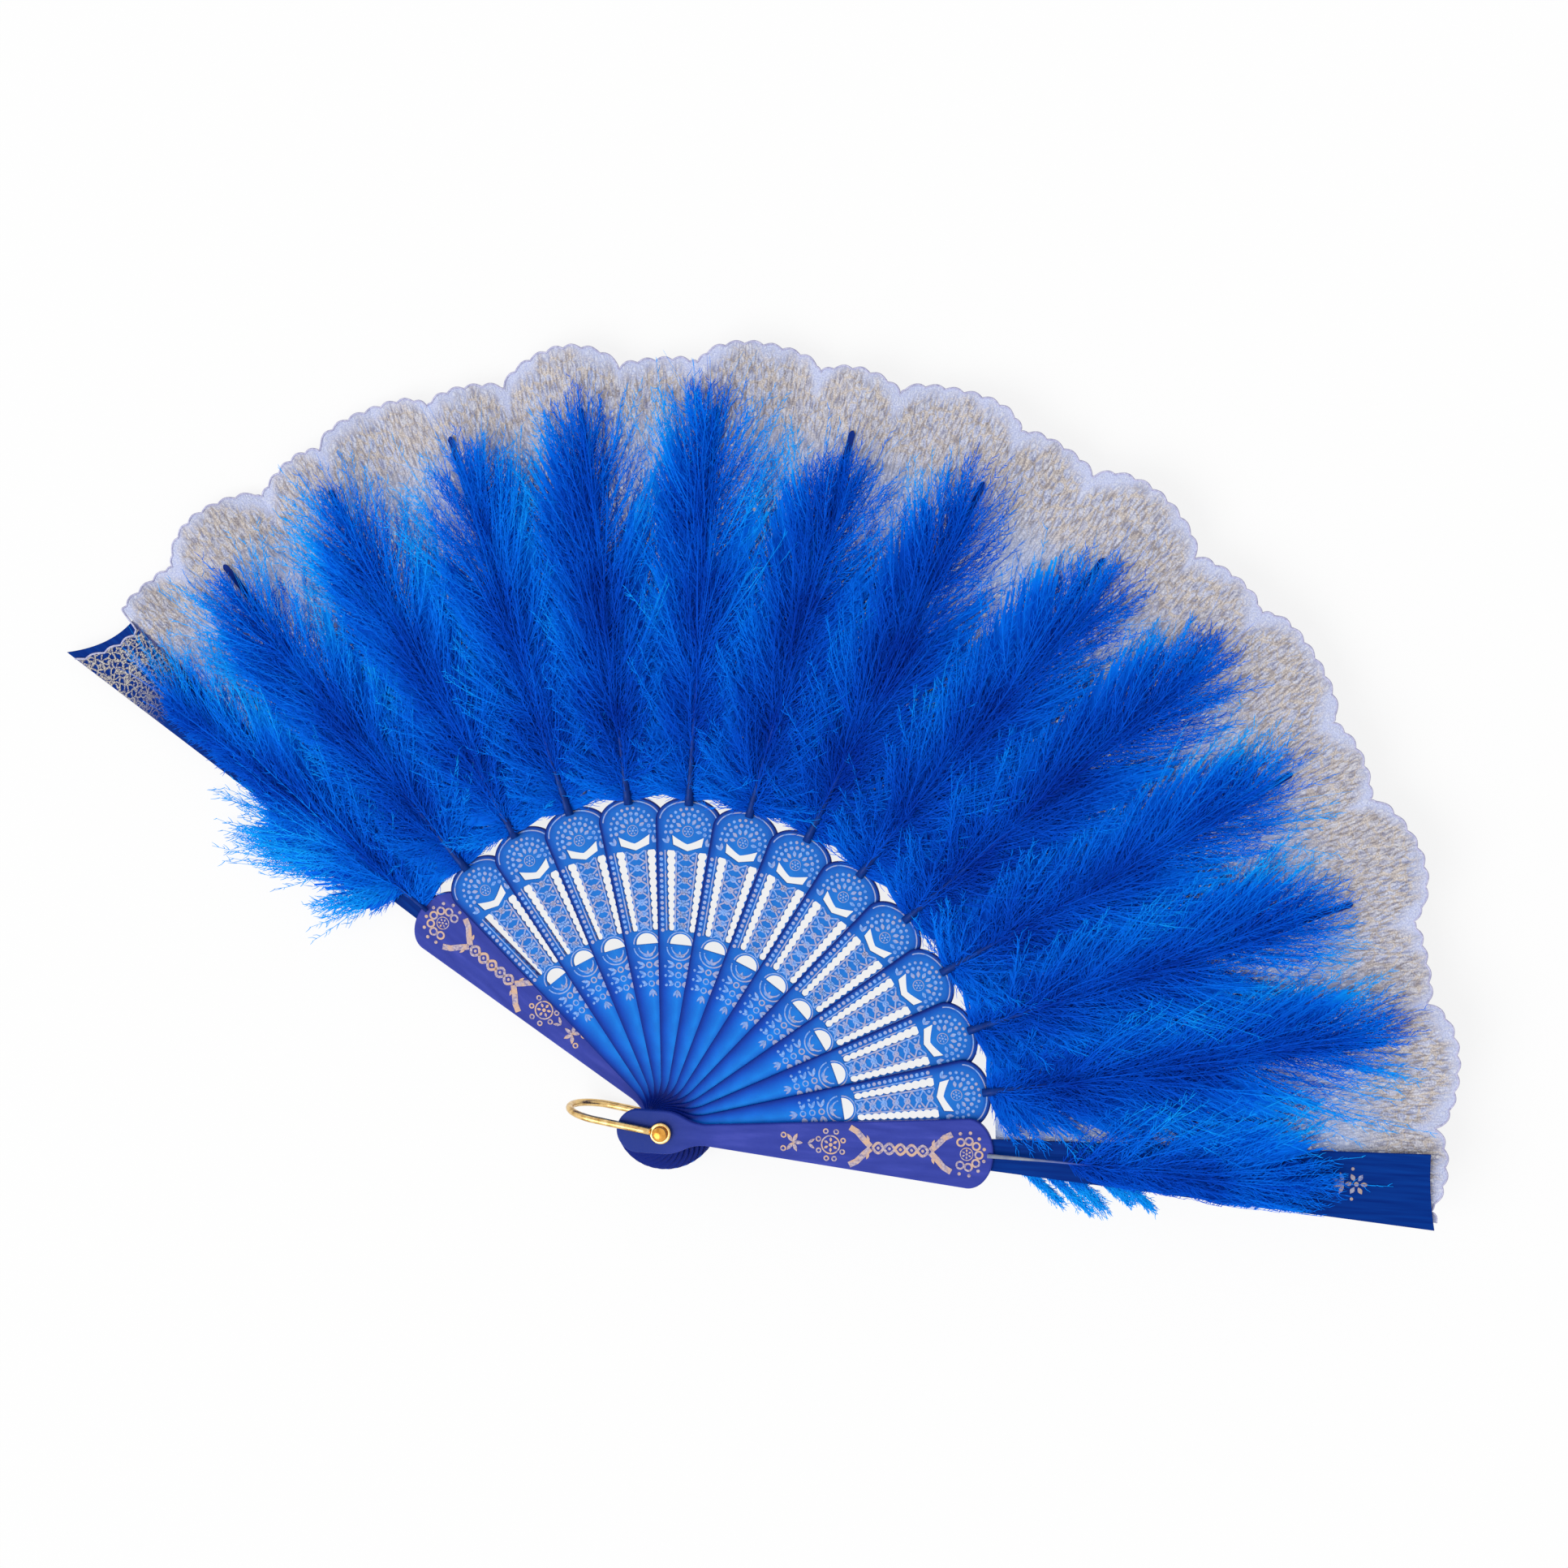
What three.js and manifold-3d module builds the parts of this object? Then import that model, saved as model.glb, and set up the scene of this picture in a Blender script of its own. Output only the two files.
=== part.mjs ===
// A folding feather fan, open and lying on its back.
// Units are millimetres and degrees. The rivet's axis is Z, the middle of the spread points along +Y,
// and Z = 0 is the flat underside of the rivet's rear head. The front of the fan faces +Z.
import * as THREE from "three";
import { mergeVertices } from "three/addons/utils/BufferGeometryUtils.js";
import Module from "manifold-3d";

const wasm = await Module();
wasm.setup();

// The fan as a whole
const INNER_STICKS = 12;
const SPREAD_ANGLE = 142.2; // between the centre lines of the two guards
const RUNNING_GAP = 0.15; // between neighbours in the stack

// Rivet and bail
const PIN_RADIUS = 1.6;
const PIN_CLEARANCE = 0.3; // all round, in every hole that turns on the pin
const RIVET_HEAD_RADIUS = 2.4;
const RIVET_HEAD_THICKNESS = 1.2;
const CAP_RADIUS = 2.3;
const CAP_HEIGHT = 2.0;
const CAP_FIT = 0.1; // between the pin's end and the cap's socket
const CAP_SOCKET_DEPTH = 1.0;
const CAP_RIM = 0.7; // height of its upright edge, below the dome
const EYE_RIM = 0.8; // how far the bail's eyes reach past the rivet's heads
const EYE_THICKNESS = 1.4;
const BAIL_WIRE_RADIUS = 1.1;
const BAIL_REACH = 31; // from the rivet's axis to the outside of the bow
const BAIL_ANGLE = 190.9; // where the bail lies, counted from +X

// Stick and guard mouldings
const TAIL_REACH = 13.5; // how far the rounded tail stands past the rivet's axis
const TAIL_RADIUS = 6.5;
const NECK_RADIUS = 13.3; // where the blade starts to flare out to its tail
const NECK_WIDTH = 6.4;
const SHOULDER_RADIUS = 91; // where the domed head begins
const HEAD_TOP_RADIUS = 98.4;
const STICK_THICKNESS = 1.0;
const STICK_HEAD_WIDTH = 20.0;
const GUARD_THICKNESS = 2.0;
const GUARD_HEAD_WIDTH = 20.6;

// Openings pierced through each inner stick
const MOON_BASE_RADIUS = 54.4; // distance of its straight side from the rivet
const MOON_WIDTH = 6.6;
const SLOT_START_RADIUS = 58.4;
const SLOT_END_RADIUS = 82.3;
const SLOT_FRAME = 3.1; // material left between a slot and the stick's edge
const SLOT_WIDTH_START = 1.9;
const SLOT_WIDTH_END = 2.8;
const CHEVRON_RADIUS = 85.0; // distance of its upper notch from the rivet
const CHEVRON_WIDTH = 9.4;
const CHEVRON_RISE = 1.8;
const CHEVRON_THICKNESS = 2.6;

// Ribs and slats, which carry the leaf
const RIB_THICKNESS = 0.5;
const RIB_WIDTH_START = 4.2;
const RIB_WIDTH_TIP = 1.8;
const RIB_TIP_RADIUS = 212; // of its two corners
const RIB_TIP_CROWN = 1; // how far the rib's round end stands past them
const SLAT_THICKNESS = 1.0;
const SLAT_WIDTH_START = 9;
const SLAT_WIDTH_TIP = 22;
const SLAT_LEAN = 2; // how far the slat's tip lies outwards of its centre line
const SLAT_TIP_RADIUS = 224; // midway between the two corners of the front slat's end
const FRONT_SLAT_SLANT = 2; // how much further out the outer corner lies than the inner one
const FRONT_SLAT_HOLLOW = 0.6;
const REAR_SLAT_EXTRA = 2; // how much longer the rear slat is
const REAR_SLAT_SLANT = 10;
const REAR_SLAT_HOLLOW = 2.5;
const ROOT_OVERLAP = 4; // how far a rib or slat runs into its head

// Lace leaf
const LEAF_THICKNESS = 0.35;
const GLUE_GAP = 0.12; // between the leaf and what carries it
const LEAF_INNER_RADIUS = 101;
const LEAF_VALLEY_RADIUS = 222.5; // between two lobes of the scalloped edge, at the rear guard
const LEAF_SWELL = 7.5; // how much further out the edge lies where it swells most
const SWELL_ANGLE = 95; // where that is, counted from the rear guard
const SWELL_REACH = 60; // how far to each side of it the edge swells
const LOBE_PAIR_ANGLE = 15.2; // one large and one small lobe of the scalloped edge
const FIRST_LOBE_ANGLE = 7.4; // start of the first large lobe, counted from the rear guard
const LARGE_LOBE_SHARE = 0.6; // of a pair's angle
const LARGE_LOBE = 7;
const SMALL_LOBE = 3.2;
const LEAF_LAP = 0.5; // degrees that a panel runs past the stick it starts on
const GUARD_LAP = 2.1; // degrees that the leaf runs on over a guard's slat

// Feathers
const FEATHER_START_RADIUS = 100.5;
const FEATHER_LENGTH = 106;
const FEATHER_WIDTH = 27;
const FEATHER_THICKNESS = 5;
const QUILL_WIDTH = 2.4;

// How finely round shapes are cut
const CIRCLE_SIDES = 24;
const WIRE_SIDES = 10;
const WIRE_STEPS = 40;
const ARC_STEPS = 12;
const STEP_MARGIN = 0.2; // least share of a step between a panel's corner and the next point on its edge
const DOME_STEPS = 5;

// Levels in the stack, from the table up
const STEP_ANGLE = SPREAD_ANGLE / (INNER_STICKS + 1);
const HOLE_RADIUS = PIN_RADIUS + PIN_CLEARANCE;
const HEADS_RADIUS = Math.max(RIVET_HEAD_RADIUS, CAP_RADIUS);
const REAR_EYE_Z = RIVET_HEAD_THICKNESS + RUNNING_GAP;
const REAR_GUARD_Z = REAR_EYE_Z + EYE_THICKNESS + RUNNING_GAP;
const FIRST_STICK_Z = REAR_GUARD_Z + GUARD_THICKNESS + RUNNING_GAP;
const STICK_PITCH = STICK_THICKNESS + RUNNING_GAP;
const FRONT_GUARD_Z = FIRST_STICK_Z + INNER_STICKS * STICK_PITCH;
const FRONT_EYE_Z = FRONT_GUARD_Z + GUARD_THICKNESS + RUNNING_GAP;
const CAP_Z = FRONT_EYE_Z + EYE_THICKNESS + RUNNING_GAP;

// Materials
const BLUE_PLASTIC = new THREE.MeshStandardMaterial({ color: 0x1550c8, roughness: 0.35, metalness: 0 });
const GUARD_PLASTIC = new THREE.MeshStandardMaterial({ color: 0x2a35a8, roughness: 0.4, metalness: 0 });
const LACE = new THREE.MeshStandardMaterial({ color: 0xb9b4c8, roughness: 0.8, metalness: 0 });
const DOWN = new THREE.MeshStandardMaterial({ color: 0x0a4fc4, roughness: 0.9, metalness: 0 });
const BRASS = new THREE.MeshStandardMaterial({ color: 0xc8963c, roughness: 0.25, metalness: 1 });

const fan = new THREE.Group();
const radians = THREE.MathUtils.degToRad;

// The angle of stick number i from +Y, counterclockwise.
// Number 0 is the rear guard and INNER_STICKS + 1 the front guard.
function stickAngle(i) {
  return SPREAD_ANGLE / 2 - i * STEP_ANGLE;
}

function stickLevel(i) {
  return FIRST_STICK_Z + (i - 1) * STICK_PITCH;
}

function addPiece(name, geometry, material, turn, height) {
  const mesh = new THREE.Mesh(geometry, material);
  mesh.name = name;
  mesh.rotation.z = radians(turn);
  mesh.position.z = height;
  fan.add(mesh);
}

function twoDigits(number) {
  return String(number).padStart(2, "0");
}

// A closed geometry as a solid that can be joined or cut
function solidOf(geometry) {
  const bare = geometry.clone();
  bare.deleteAttribute("normal");
  bare.deleteAttribute("uv");
  const merged = mergeVertices(bare, 1e-4);
  const vertProperties = new Float32Array(merged.attributes.position.array);
  const triVerts = new Uint32Array(merged.index.array);
  return new wasm.Manifold(new wasm.Mesh({ numProp: 3, vertProperties, triVerts }));
}

function geometryOf(solid) {
  const { vertProperties, triVerts } = solid.getMesh();
  const geometry = new THREE.BufferGeometry();
  geometry.setAttribute("position", new THREE.BufferAttribute(vertProperties, 3));
  geometry.setIndex(new THREE.BufferAttribute(triVerts, 1));
  geometry.computeVertexNormals();
  return geometry;
}

function joined(...geometries) {
  return geometryOf(geometries.map(solidOf).reduce((whole, piece) => whole.add(piece)));
}

// A plate with openings cut right through it
function pierced(geometry, thickness, openings) {
  const tools = openings.map((shape) => solidOf(plate(shape, 3 * thickness, -thickness)));
  return geometryOf(tools.reduce((whole, tool) => whole.subtract(tool), solidOf(geometry)));
}

function plate(shape, thickness, base = 0) {
  const geometry = new THREE.ExtrudeGeometry(shape, {
    depth: thickness,
    bevelEnabled: false,
    curveSegments: ARC_STEPS,
  });
  return geometry.translate(0, 0, base);
}

function roundHole(radius) {
  return new THREE.Path().absarc(0, 0, radius, 0, 2 * Math.PI, true);
}

// Half the width of a blade at a distance from the rivet, before its head
function bladeHalfWidth(distance, headWidth) {
  const share = (distance - NECK_RADIUS) / (SHOULDER_RADIUS - NECK_RADIUS);
  return THREE.MathUtils.lerp(NECK_WIDTH, headWidth, share) / 2;
}

// Blade along +Y: rounded tail round the rivet, flared neck, straight flanks that widen, domed head
function bladeShape(headWidth) {
  const side = headWidth / 2;
  const neck = NECK_WIDTH / 2;
  const flare = NECK_RADIUS / 2;
  const tailCentre = TAIL_RADIUS - TAIL_REACH;
  const shape = new THREE.Shape();
  shape.moveTo(neck, NECK_RADIUS);
  shape.lineTo(side, SHOULDER_RADIUS);
  shape.absellipse(0, SHOULDER_RADIUS, side, HEAD_TOP_RADIUS - SHOULDER_RADIUS, 0, Math.PI, false, 0);
  shape.lineTo(-neck, NECK_RADIUS);
  shape.bezierCurveTo(-neck, flare, -TAIL_RADIUS, flare, -TAIL_RADIUS, 0);
  shape.lineTo(-TAIL_RADIUS, tailCentre);
  shape.absarc(0, tailCentre, TAIL_RADIUS, Math.PI, 2 * Math.PI, false);
  shape.lineTo(TAIL_RADIUS, 0);
  shape.bezierCurveTo(TAIL_RADIUS, flare, neck, flare, neck, NECK_RADIUS);
  shape.holes.push(roundHole(HOLE_RADIUS));
  return shape;
}

// The thin rib along +Y, with a crowned end
function ribShape() {
  const start = HEAD_TOP_RADIUS - ROOT_OVERLAP;
  const shape = new THREE.Shape();
  shape.moveTo(-RIB_WIDTH_START / 2, start);
  shape.lineTo(RIB_WIDTH_START / 2, start);
  shape.lineTo(RIB_WIDTH_TIP / 2, RIB_TIP_RADIUS);
  shape.quadraticCurveTo(0, RIB_TIP_RADIUS + 2 * RIB_TIP_CROWN, -RIB_WIDTH_TIP / 2, RIB_TIP_RADIUS);
  return shape;
}

// A guard's slat along +Y, leaning to its outer side (-1 or 1) and hollowed at its end
function slatShape(outerSide, tipRadius, slant, hollow) {
  const start = HEAD_TOP_RADIUS - ROOT_OVERLAP;
  const middle = outerSide * SLAT_LEAN;
  const side = (outerSide * SLAT_WIDTH_TIP) / 2;
  const shape = new THREE.Shape();
  shape.moveTo((outerSide * SLAT_WIDTH_START) / 2, start);
  shape.lineTo(middle + side, tipRadius + slant / 2);
  shape.quadraticCurveTo(middle, tipRadius - 2 * hollow, middle - side, tipRadius - slant / 2);
  shape.lineTo((-outerSide * SLAT_WIDTH_START) / 2, start);
  return shape;
}

// The half-moon opening, straight side towards the rivet
function moonOpening() {
  return new THREE.Shape().absarc(0, MOON_BASE_RADIUS, MOON_WIDTH / 2, 0, Math.PI, false);
}

// The long slot on one side (-1 or 1) of the stick's centre bar
function slotOpening(side) {
  const outerStart = bladeHalfWidth(SLOT_START_RADIUS, STICK_HEAD_WIDTH) - SLOT_FRAME;
  const outerEnd = bladeHalfWidth(SLOT_END_RADIUS, STICK_HEAD_WIDTH) - SLOT_FRAME;
  const opening = new THREE.Shape();
  opening.moveTo(side * (outerStart - SLOT_WIDTH_START), SLOT_START_RADIUS);
  opening.lineTo(side * outerStart, SLOT_START_RADIUS);
  opening.lineTo(side * outerEnd, SLOT_END_RADIUS);
  opening.lineTo(side * (outerEnd - SLOT_WIDTH_END), SLOT_END_RADIUS);
  return opening;
}

// The wide V under the head
function chevronOpening() {
  const side = CHEVRON_WIDTH / 2;
  const opening = new THREE.Shape();
  opening.moveTo(0, CHEVRON_RADIUS);
  opening.lineTo(-side, CHEVRON_RADIUS + CHEVRON_RISE);
  opening.lineTo(-side, CHEVRON_RADIUS + CHEVRON_RISE - CHEVRON_THICKNESS / 2);
  opening.lineTo(0, CHEVRON_RADIUS - CHEVRON_THICKNESS);
  opening.lineTo(side, CHEVRON_RADIUS + CHEVRON_RISE - CHEVRON_THICKNESS / 2);
  opening.lineTo(side, CHEVRON_RADIUS + CHEVRON_RISE);
  return opening;
}

// One inner stick: pierced blade, with a thin rib flush with its front face
function stickGeometry() {
  const blade = plate(bladeShape(STICK_HEAD_WIDTH), STICK_THICKNESS);
  const openings = [moonOpening(), slotOpening(-1), slotOpening(1), chevronOpening()];
  const ribPlate = plate(ribShape(), RIB_THICKNESS, STICK_THICKNESS - RIB_THICKNESS);
  return joined(pierced(blade, STICK_THICKNESS, openings), ribPlate);
}

// A guard: plain thick blade, with a thinner slat flush with its rear face
function guardGeometry(slat) {
  const blade = plate(bladeShape(GUARD_HEAD_WIDTH), GUARD_THICKNESS);
  return joined(blade, plate(slat, SLAT_THICKNESS));
}

// Radius of the leaf's scalloped edge at an angle counted from the rear guard
function leafEdgeRadius(angle) {
  const pair = (angle - FIRST_LOBE_ANGLE) / LOBE_PAIR_ANGLE;
  const share = pair - Math.floor(pair);
  const large = share < LARGE_LOBE_SHARE;
  const across = large ? share / LARGE_LOBE_SHARE : (share - LARGE_LOBE_SHARE) / (1 - LARGE_LOBE_SHARE);
  const lobe = (large ? LARGE_LOBE : SMALL_LOBE) * Math.sqrt(Math.max(0, 1 - (2 * across - 1) ** 2));
  const fromSwell = Math.min(1, Math.abs(angle - SWELL_ANGLE) / SWELL_REACH);
  return LEAF_VALLEY_RADIUS + (LEAF_SWELL * (1 + Math.cos(Math.PI * fromSwell))) / 2 + lobe;
}

// Angles along a panel's outer edge, with one at each valley between lobes
function edgeAngles(from, to) {
  const largeStep = (LOBE_PAIR_ANGLE * LARGE_LOBE_SHARE) / ARC_STEPS;
  const smallStep = LOBE_PAIR_ANGLE / ARC_STEPS - largeStep;
  const angles = [from];
  let angle = FIRST_LOBE_ANGLE - LOBE_PAIR_ANGLE;
  while (angle < to) {
    for (let i = 0; i < 2 * ARC_STEPS; i++) {
      const step = i < ARC_STEPS ? largeStep : smallStep;
      if (angle > from + STEP_MARGIN * step && angle < to - STEP_MARGIN * step) angles.push(angle);
      angle += step;
    }
  }
  return [...angles, to];
}

// The stretch of leaf from stick number i to the next, in the fan's own frame
function leafGeometry(i) {
  const from = i * STEP_ANGLE - (i === 0 ? GUARD_LAP : LEAF_LAP);
  const to = (i + 1) * STEP_ANGLE + (i === INNER_STICKS ? GUARD_LAP : 0);
  const at = (angle, radius) => {
    const turn = radians(SPREAD_ANGLE / 2 - angle);
    return new THREE.Vector2(-radius * Math.sin(turn), radius * Math.cos(turn));
  };
  const outer = edgeAngles(from, to).map((angle) => at(angle, leafEdgeRadius(angle)));
  const inner = [to, (from + to) / 2, from].map((angle) => at(angle, LEAF_INNER_RADIUS));
  return plate(new THREE.Shape([...outer, ...inner]), LEAF_THICKNESS);
}

// How wide and how deep a feather is along its length, as shares of its full size
const FEATHER_STATION_SHARES = [0, 0.08, 0.2, 0.4, 0.6, 0.8, 0.93, 1];
const FEATHER_WIDTH_SHARES = [0.1, 0.25, 0.65, 0.95, 1, 0.85, 0.5, 0.14];
const FEATHER_DEPTH_SHARES = [0.25, 0.45, 0.85, 1, 0.95, 0.75, 0.5, 0.25];
// A feather's section: flat underneath, crowned on top, as shares of half its width and of its depth
const FEATHER_SECTION_SHARES = [
  [1, 0.15],
  [0.65, 0.72],
  [0, 1],
  [-0.65, 0.72],
  [-1, 0.15],
  [-0.6, 0],
  [0.6, 0],
];

// A down feather along +Y, lying on Z = 0, quill end towards the rivet
function featherGeometry() {
  const sides = FEATHER_SECTION_SHARES.length;
  const points = [];
  FEATHER_STATION_SHARES.forEach((station, s) => {
    const half = Math.max(QUILL_WIDTH, FEATHER_WIDTH_SHARES[s] * FEATHER_WIDTH) / 2;
    const depth = FEATHER_DEPTH_SHARES[s] * FEATHER_THICKNESS;
    const along = FEATHER_START_RADIUS + station * FEATHER_LENGTH;
    FEATHER_SECTION_SHARES.forEach(([x, z]) => points.push(x * half, along, z * depth));
  });
  const faces = [];
  for (let s = 0; s + 1 < FEATHER_STATION_SHARES.length; s++) {
    for (let k = 0; k < sides; k++) {
      const here = s * sides + k;
      const next = s * sides + ((k + 1) % sides);
      faces.push(here, here + sides, next, next, here + sides, next + sides);
    }
  }
  const last = (FEATHER_STATION_SHARES.length - 1) * sides;
  for (let k = 1; k + 1 < sides; k++) {
    faces.push(0, k, k + 1);
    faces.push(last, last + k + 1, last + k);
  }
  const geometry = new THREE.BufferGeometry();
  geometry.setAttribute("position", new THREE.Float32BufferAttribute(points, 3));
  geometry.setIndex(faces);
  geometry.computeVertexNormals();
  return geometry;
}

// Rivet pin and its flat rear head, turned about Z
function rivetGeometry() {
  const top = CAP_Z + CAP_SOCKET_DEPTH - CAP_FIT;
  const profile = [
    [0, 0],
    [RIVET_HEAD_RADIUS, 0],
    [RIVET_HEAD_RADIUS, RIVET_HEAD_THICKNESS],
    [PIN_RADIUS, RIVET_HEAD_THICKNESS],
    [PIN_RADIUS, top],
    [0, top],
  ];
  return turned(profile);
}

// The domed front cap, with the socket that takes the pin's end
function capGeometry() {
  const socket = PIN_RADIUS + CAP_FIT;
  const profile = [
    [0, CAP_SOCKET_DEPTH],
    [socket, CAP_SOCKET_DEPTH],
    [socket, 0],
    [CAP_RADIUS, 0],
  ];
  for (let k = 0; k <= DOME_STEPS; k++) {
    const angle = (k / DOME_STEPS) * (Math.PI / 2);
    profile.push([CAP_RADIUS * Math.cos(angle), CAP_RIM + (CAP_HEIGHT - CAP_RIM) * Math.sin(angle)]);
  }
  profile[profile.length - 1][0] = 0;
  return turned(profile);
}

function turned(profile) {
  const points = profile.map(([radius, height]) => new THREE.Vector2(radius, height));
  return new THREE.LatheGeometry(points, CIRCLE_SIDES).rotateX(Math.PI / 2);
}

// The bail along +X, in the fan's levels: two flattened eyes, two straight legs and a round bow
function bailGeometry() {
  const rearLeg = REAR_EYE_Z + EYE_THICKNESS - BAIL_WIRE_RADIUS;
  const frontLeg = FRONT_EYE_Z + BAIL_WIRE_RADIUS;
  const middle = (rearLeg + frontLeg) / 2;
  const bow = (frontLeg - rearLeg) / 2;
  const bowStart = BAIL_REACH - BAIL_WIRE_RADIUS - bow;
  const legStart = HEADS_RADIUS + PIN_CLEARANCE;
  const route = [new THREE.Vector3(legStart, 0, rearLeg)];
  const bowSteps = 2 * ARC_STEPS;
  for (let k = 0; k <= bowSteps; k++) {
    const angle = (k / bowSteps - 0.5) * Math.PI;
    route.push(new THREE.Vector3(bowStart + bow * Math.cos(angle), 0, middle + bow * Math.sin(angle)));
  }
  route.push(new THREE.Vector3(legStart, 0, frontLeg));
  const path = new THREE.CurvePath();
  for (let k = 0; k + 1 < route.length; k++) path.add(new THREE.LineCurve3(route[k], route[k + 1]));
  const round = new THREE.EllipseCurve(0, 0, BAIL_WIRE_RADIUS, BAIL_WIRE_RADIUS);
  const section = new THREE.Shape().setFromPoints(round.getPoints(WIRE_SIDES));
  const wire = new THREE.ExtrudeGeometry(section, {
    steps: WIRE_STEPS,
    extrudePath: path,
    bevelEnabled: false,
  });
  const eye = new THREE.Shape().absarc(0, 0, HEADS_RADIUS + EYE_RIM, 0, 2 * Math.PI, false);
  eye.holes.push(roundHole(HOLE_RADIUS));
  return joined(wire, plate(eye, EYE_THICKNESS, REAR_EYE_Z), plate(eye, EYE_THICKNESS, FRONT_EYE_Z));
}

// The two guards and the sticks between them
const rearSlat = slatShape(-1, SLAT_TIP_RADIUS + REAR_SLAT_EXTRA, REAR_SLAT_SLANT, REAR_SLAT_HOLLOW);
const frontSlat = slatShape(1, SLAT_TIP_RADIUS, FRONT_SLAT_SLANT, FRONT_SLAT_HOLLOW);
const stick = stickGeometry();
addPiece("rear_guard", guardGeometry(rearSlat), GUARD_PLASTIC, stickAngle(0), REAR_GUARD_Z);
for (let i = 1; i <= INNER_STICKS; i++) {
  addPiece(`stick_${twoDigits(i)}`, stick, BLUE_PLASTIC, stickAngle(i), stickLevel(i));
}
addPiece("front_guard", guardGeometry(frontSlat), GUARD_PLASTIC, stickAngle(INNER_STICKS + 1), FRONT_GUARD_Z);

// The leaf, under each rib and over the rear guard's slat
for (let i = 0; i <= INNER_STICKS; i++) {
  const underRib = STICK_THICKNESS - RIB_THICKNESS - GLUE_GAP - LEAF_THICKNESS;
  const level = i === 0 ? REAR_GUARD_Z + SLAT_THICKNESS + GLUE_GAP : stickLevel(i) + underRib;
  addPiece(`leaf_panel_${twoDigits(i + 1)}`, leafGeometry(i), LACE, 0, level);
}

// The feathers, each on the front of its rib or slat
const feather = featherGeometry();
for (let i = 0; i <= INNER_STICKS + 1; i++) {
  let seat = stickLevel(i) + STICK_THICKNESS;
  if (i === 0) seat = REAR_GUARD_Z + SLAT_THICKNESS + GLUE_GAP + LEAF_THICKNESS;
  if (i === INNER_STICKS + 1) seat = FRONT_GUARD_Z + SLAT_THICKNESS;
  addPiece(`feather_${twoDigits(i + 1)}`, feather, DOWN, stickAngle(i), seat + GLUE_GAP);
}

// The rivet through the stack, its cap, and the bail that turns on it
addPiece("pivot_rivet", rivetGeometry(), BRASS, 0, 0);
addPiece("rivet_cap", capGeometry(), BRASS, 0, CAP_Z);
addPiece("bail", bailGeometry(), BRASS, BAIL_ANGLE, 0);

export default fan;
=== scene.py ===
"""An open folding fan of pierced blue plastic sticks, gold-thread lace and dyed down feathers."""
import math
from collections import namedtuple

import bpy
import numpy as np
from mathutils import Matrix, Vector
from mathutils.geometry import tessellate_polygon


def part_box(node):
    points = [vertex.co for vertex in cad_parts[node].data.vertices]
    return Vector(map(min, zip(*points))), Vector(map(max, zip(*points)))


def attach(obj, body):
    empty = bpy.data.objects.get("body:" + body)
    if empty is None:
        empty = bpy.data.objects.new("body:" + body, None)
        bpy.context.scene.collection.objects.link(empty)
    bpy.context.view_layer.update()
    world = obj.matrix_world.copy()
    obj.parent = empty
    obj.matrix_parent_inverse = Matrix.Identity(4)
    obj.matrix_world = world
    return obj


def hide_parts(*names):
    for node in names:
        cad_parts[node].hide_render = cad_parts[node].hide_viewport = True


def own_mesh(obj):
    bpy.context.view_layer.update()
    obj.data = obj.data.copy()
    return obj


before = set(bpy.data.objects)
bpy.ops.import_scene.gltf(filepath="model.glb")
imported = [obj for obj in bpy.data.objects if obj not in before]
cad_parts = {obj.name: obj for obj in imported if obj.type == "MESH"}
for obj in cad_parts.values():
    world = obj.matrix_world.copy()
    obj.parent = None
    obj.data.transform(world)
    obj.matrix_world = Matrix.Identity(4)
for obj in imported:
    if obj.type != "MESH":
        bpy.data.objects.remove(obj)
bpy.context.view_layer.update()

# Shapes are worked out in millimetres and made in metres.
MM = 0.001
SIDES = (-1, 1)
FULL_TURN = 2 * math.pi
LEAST_MITER = 0.5  # keeps the corners of a shrunk loop from running out
ACROSS_TUBES = (0.3, 0.1, 1.0)  # a direction that no tube runs in

# The fan as a whole, as in the CAD model
INNER_STICKS = 12
GAPS = INNER_STICKS + 1
SPREAD = math.radians(142.2)
STEP = SPREAD / GAPS
BODIES = ["rear", *(f"blade_{i:02d}" for i in range(1, GAPS)), "front"]
CARRIERS = ["rear_guard", *(f"stick_{i:02d}" for i in range(1, GAPS)), "front_guard"]

# Stick and guard mouldings
PIN_HOLE = 1.9
TAIL_REACH = 13.5
TAIL_RADIUS = 6.5
NECK_RADIUS = 13.3
NECK_WIDTH = 6.4
SHOULDER = 91.0
HEAD_TOP = 98.4
STICK_HEAD_WIDTH = 20.0
GUARD_HEAD_WIDTH = 20.6
STICK_THICKNESS = 1.0
GUARD_THICKNESS = 2.0
STICK_EDGE = 0.18
GUARD_EDGE = 0.5
RELIEF = 0.11
RELIEF_EDGE = 0.04
SINK = 0.02

# Openings in the inner sticks
MOON_BASE = 54.4
MOON_WIDTH = 6.6
SLOT_START = 58.4
SLOT_END = 82.3
SLOT_FRAME = 3.1
SLOT_WIDTHS = (1.9, 2.8)
SLOT_SCALLOPS = 11
SCALLOP_DEPTH = 0.5
SCALLOP_POINTS = 6
CHEVRON_SIDE = 4.8
CHEVRON_TIP = 86.9
CHEVRON_NOTCH = 84.5
CHEVRON_POINT = 82.4
CHEVRON_CORNER = 84.0  # of its lower edge, at each side
CHEVRON_LOWER = 0.9  # width of its lower edge, against its upper one
CHEVRON_CURVE = 1.2

# Ornament
ROSETTE = (0.84, 0.2, 0.28, 0.5, 0.28)  # of its size: inside of its rim, eye, petals' start, length and width
BEAD_ARC = math.degrees(0.12)  # how far the rows of beads on a head run past a half circle
BEAD_PITCH = 1.62  # along a slot
LATTICE_CELLS = 7
BAR_MARGIN = 0.5
BRAID = (63.0, 79.4)
BRAID_LOOPS = 5

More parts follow.
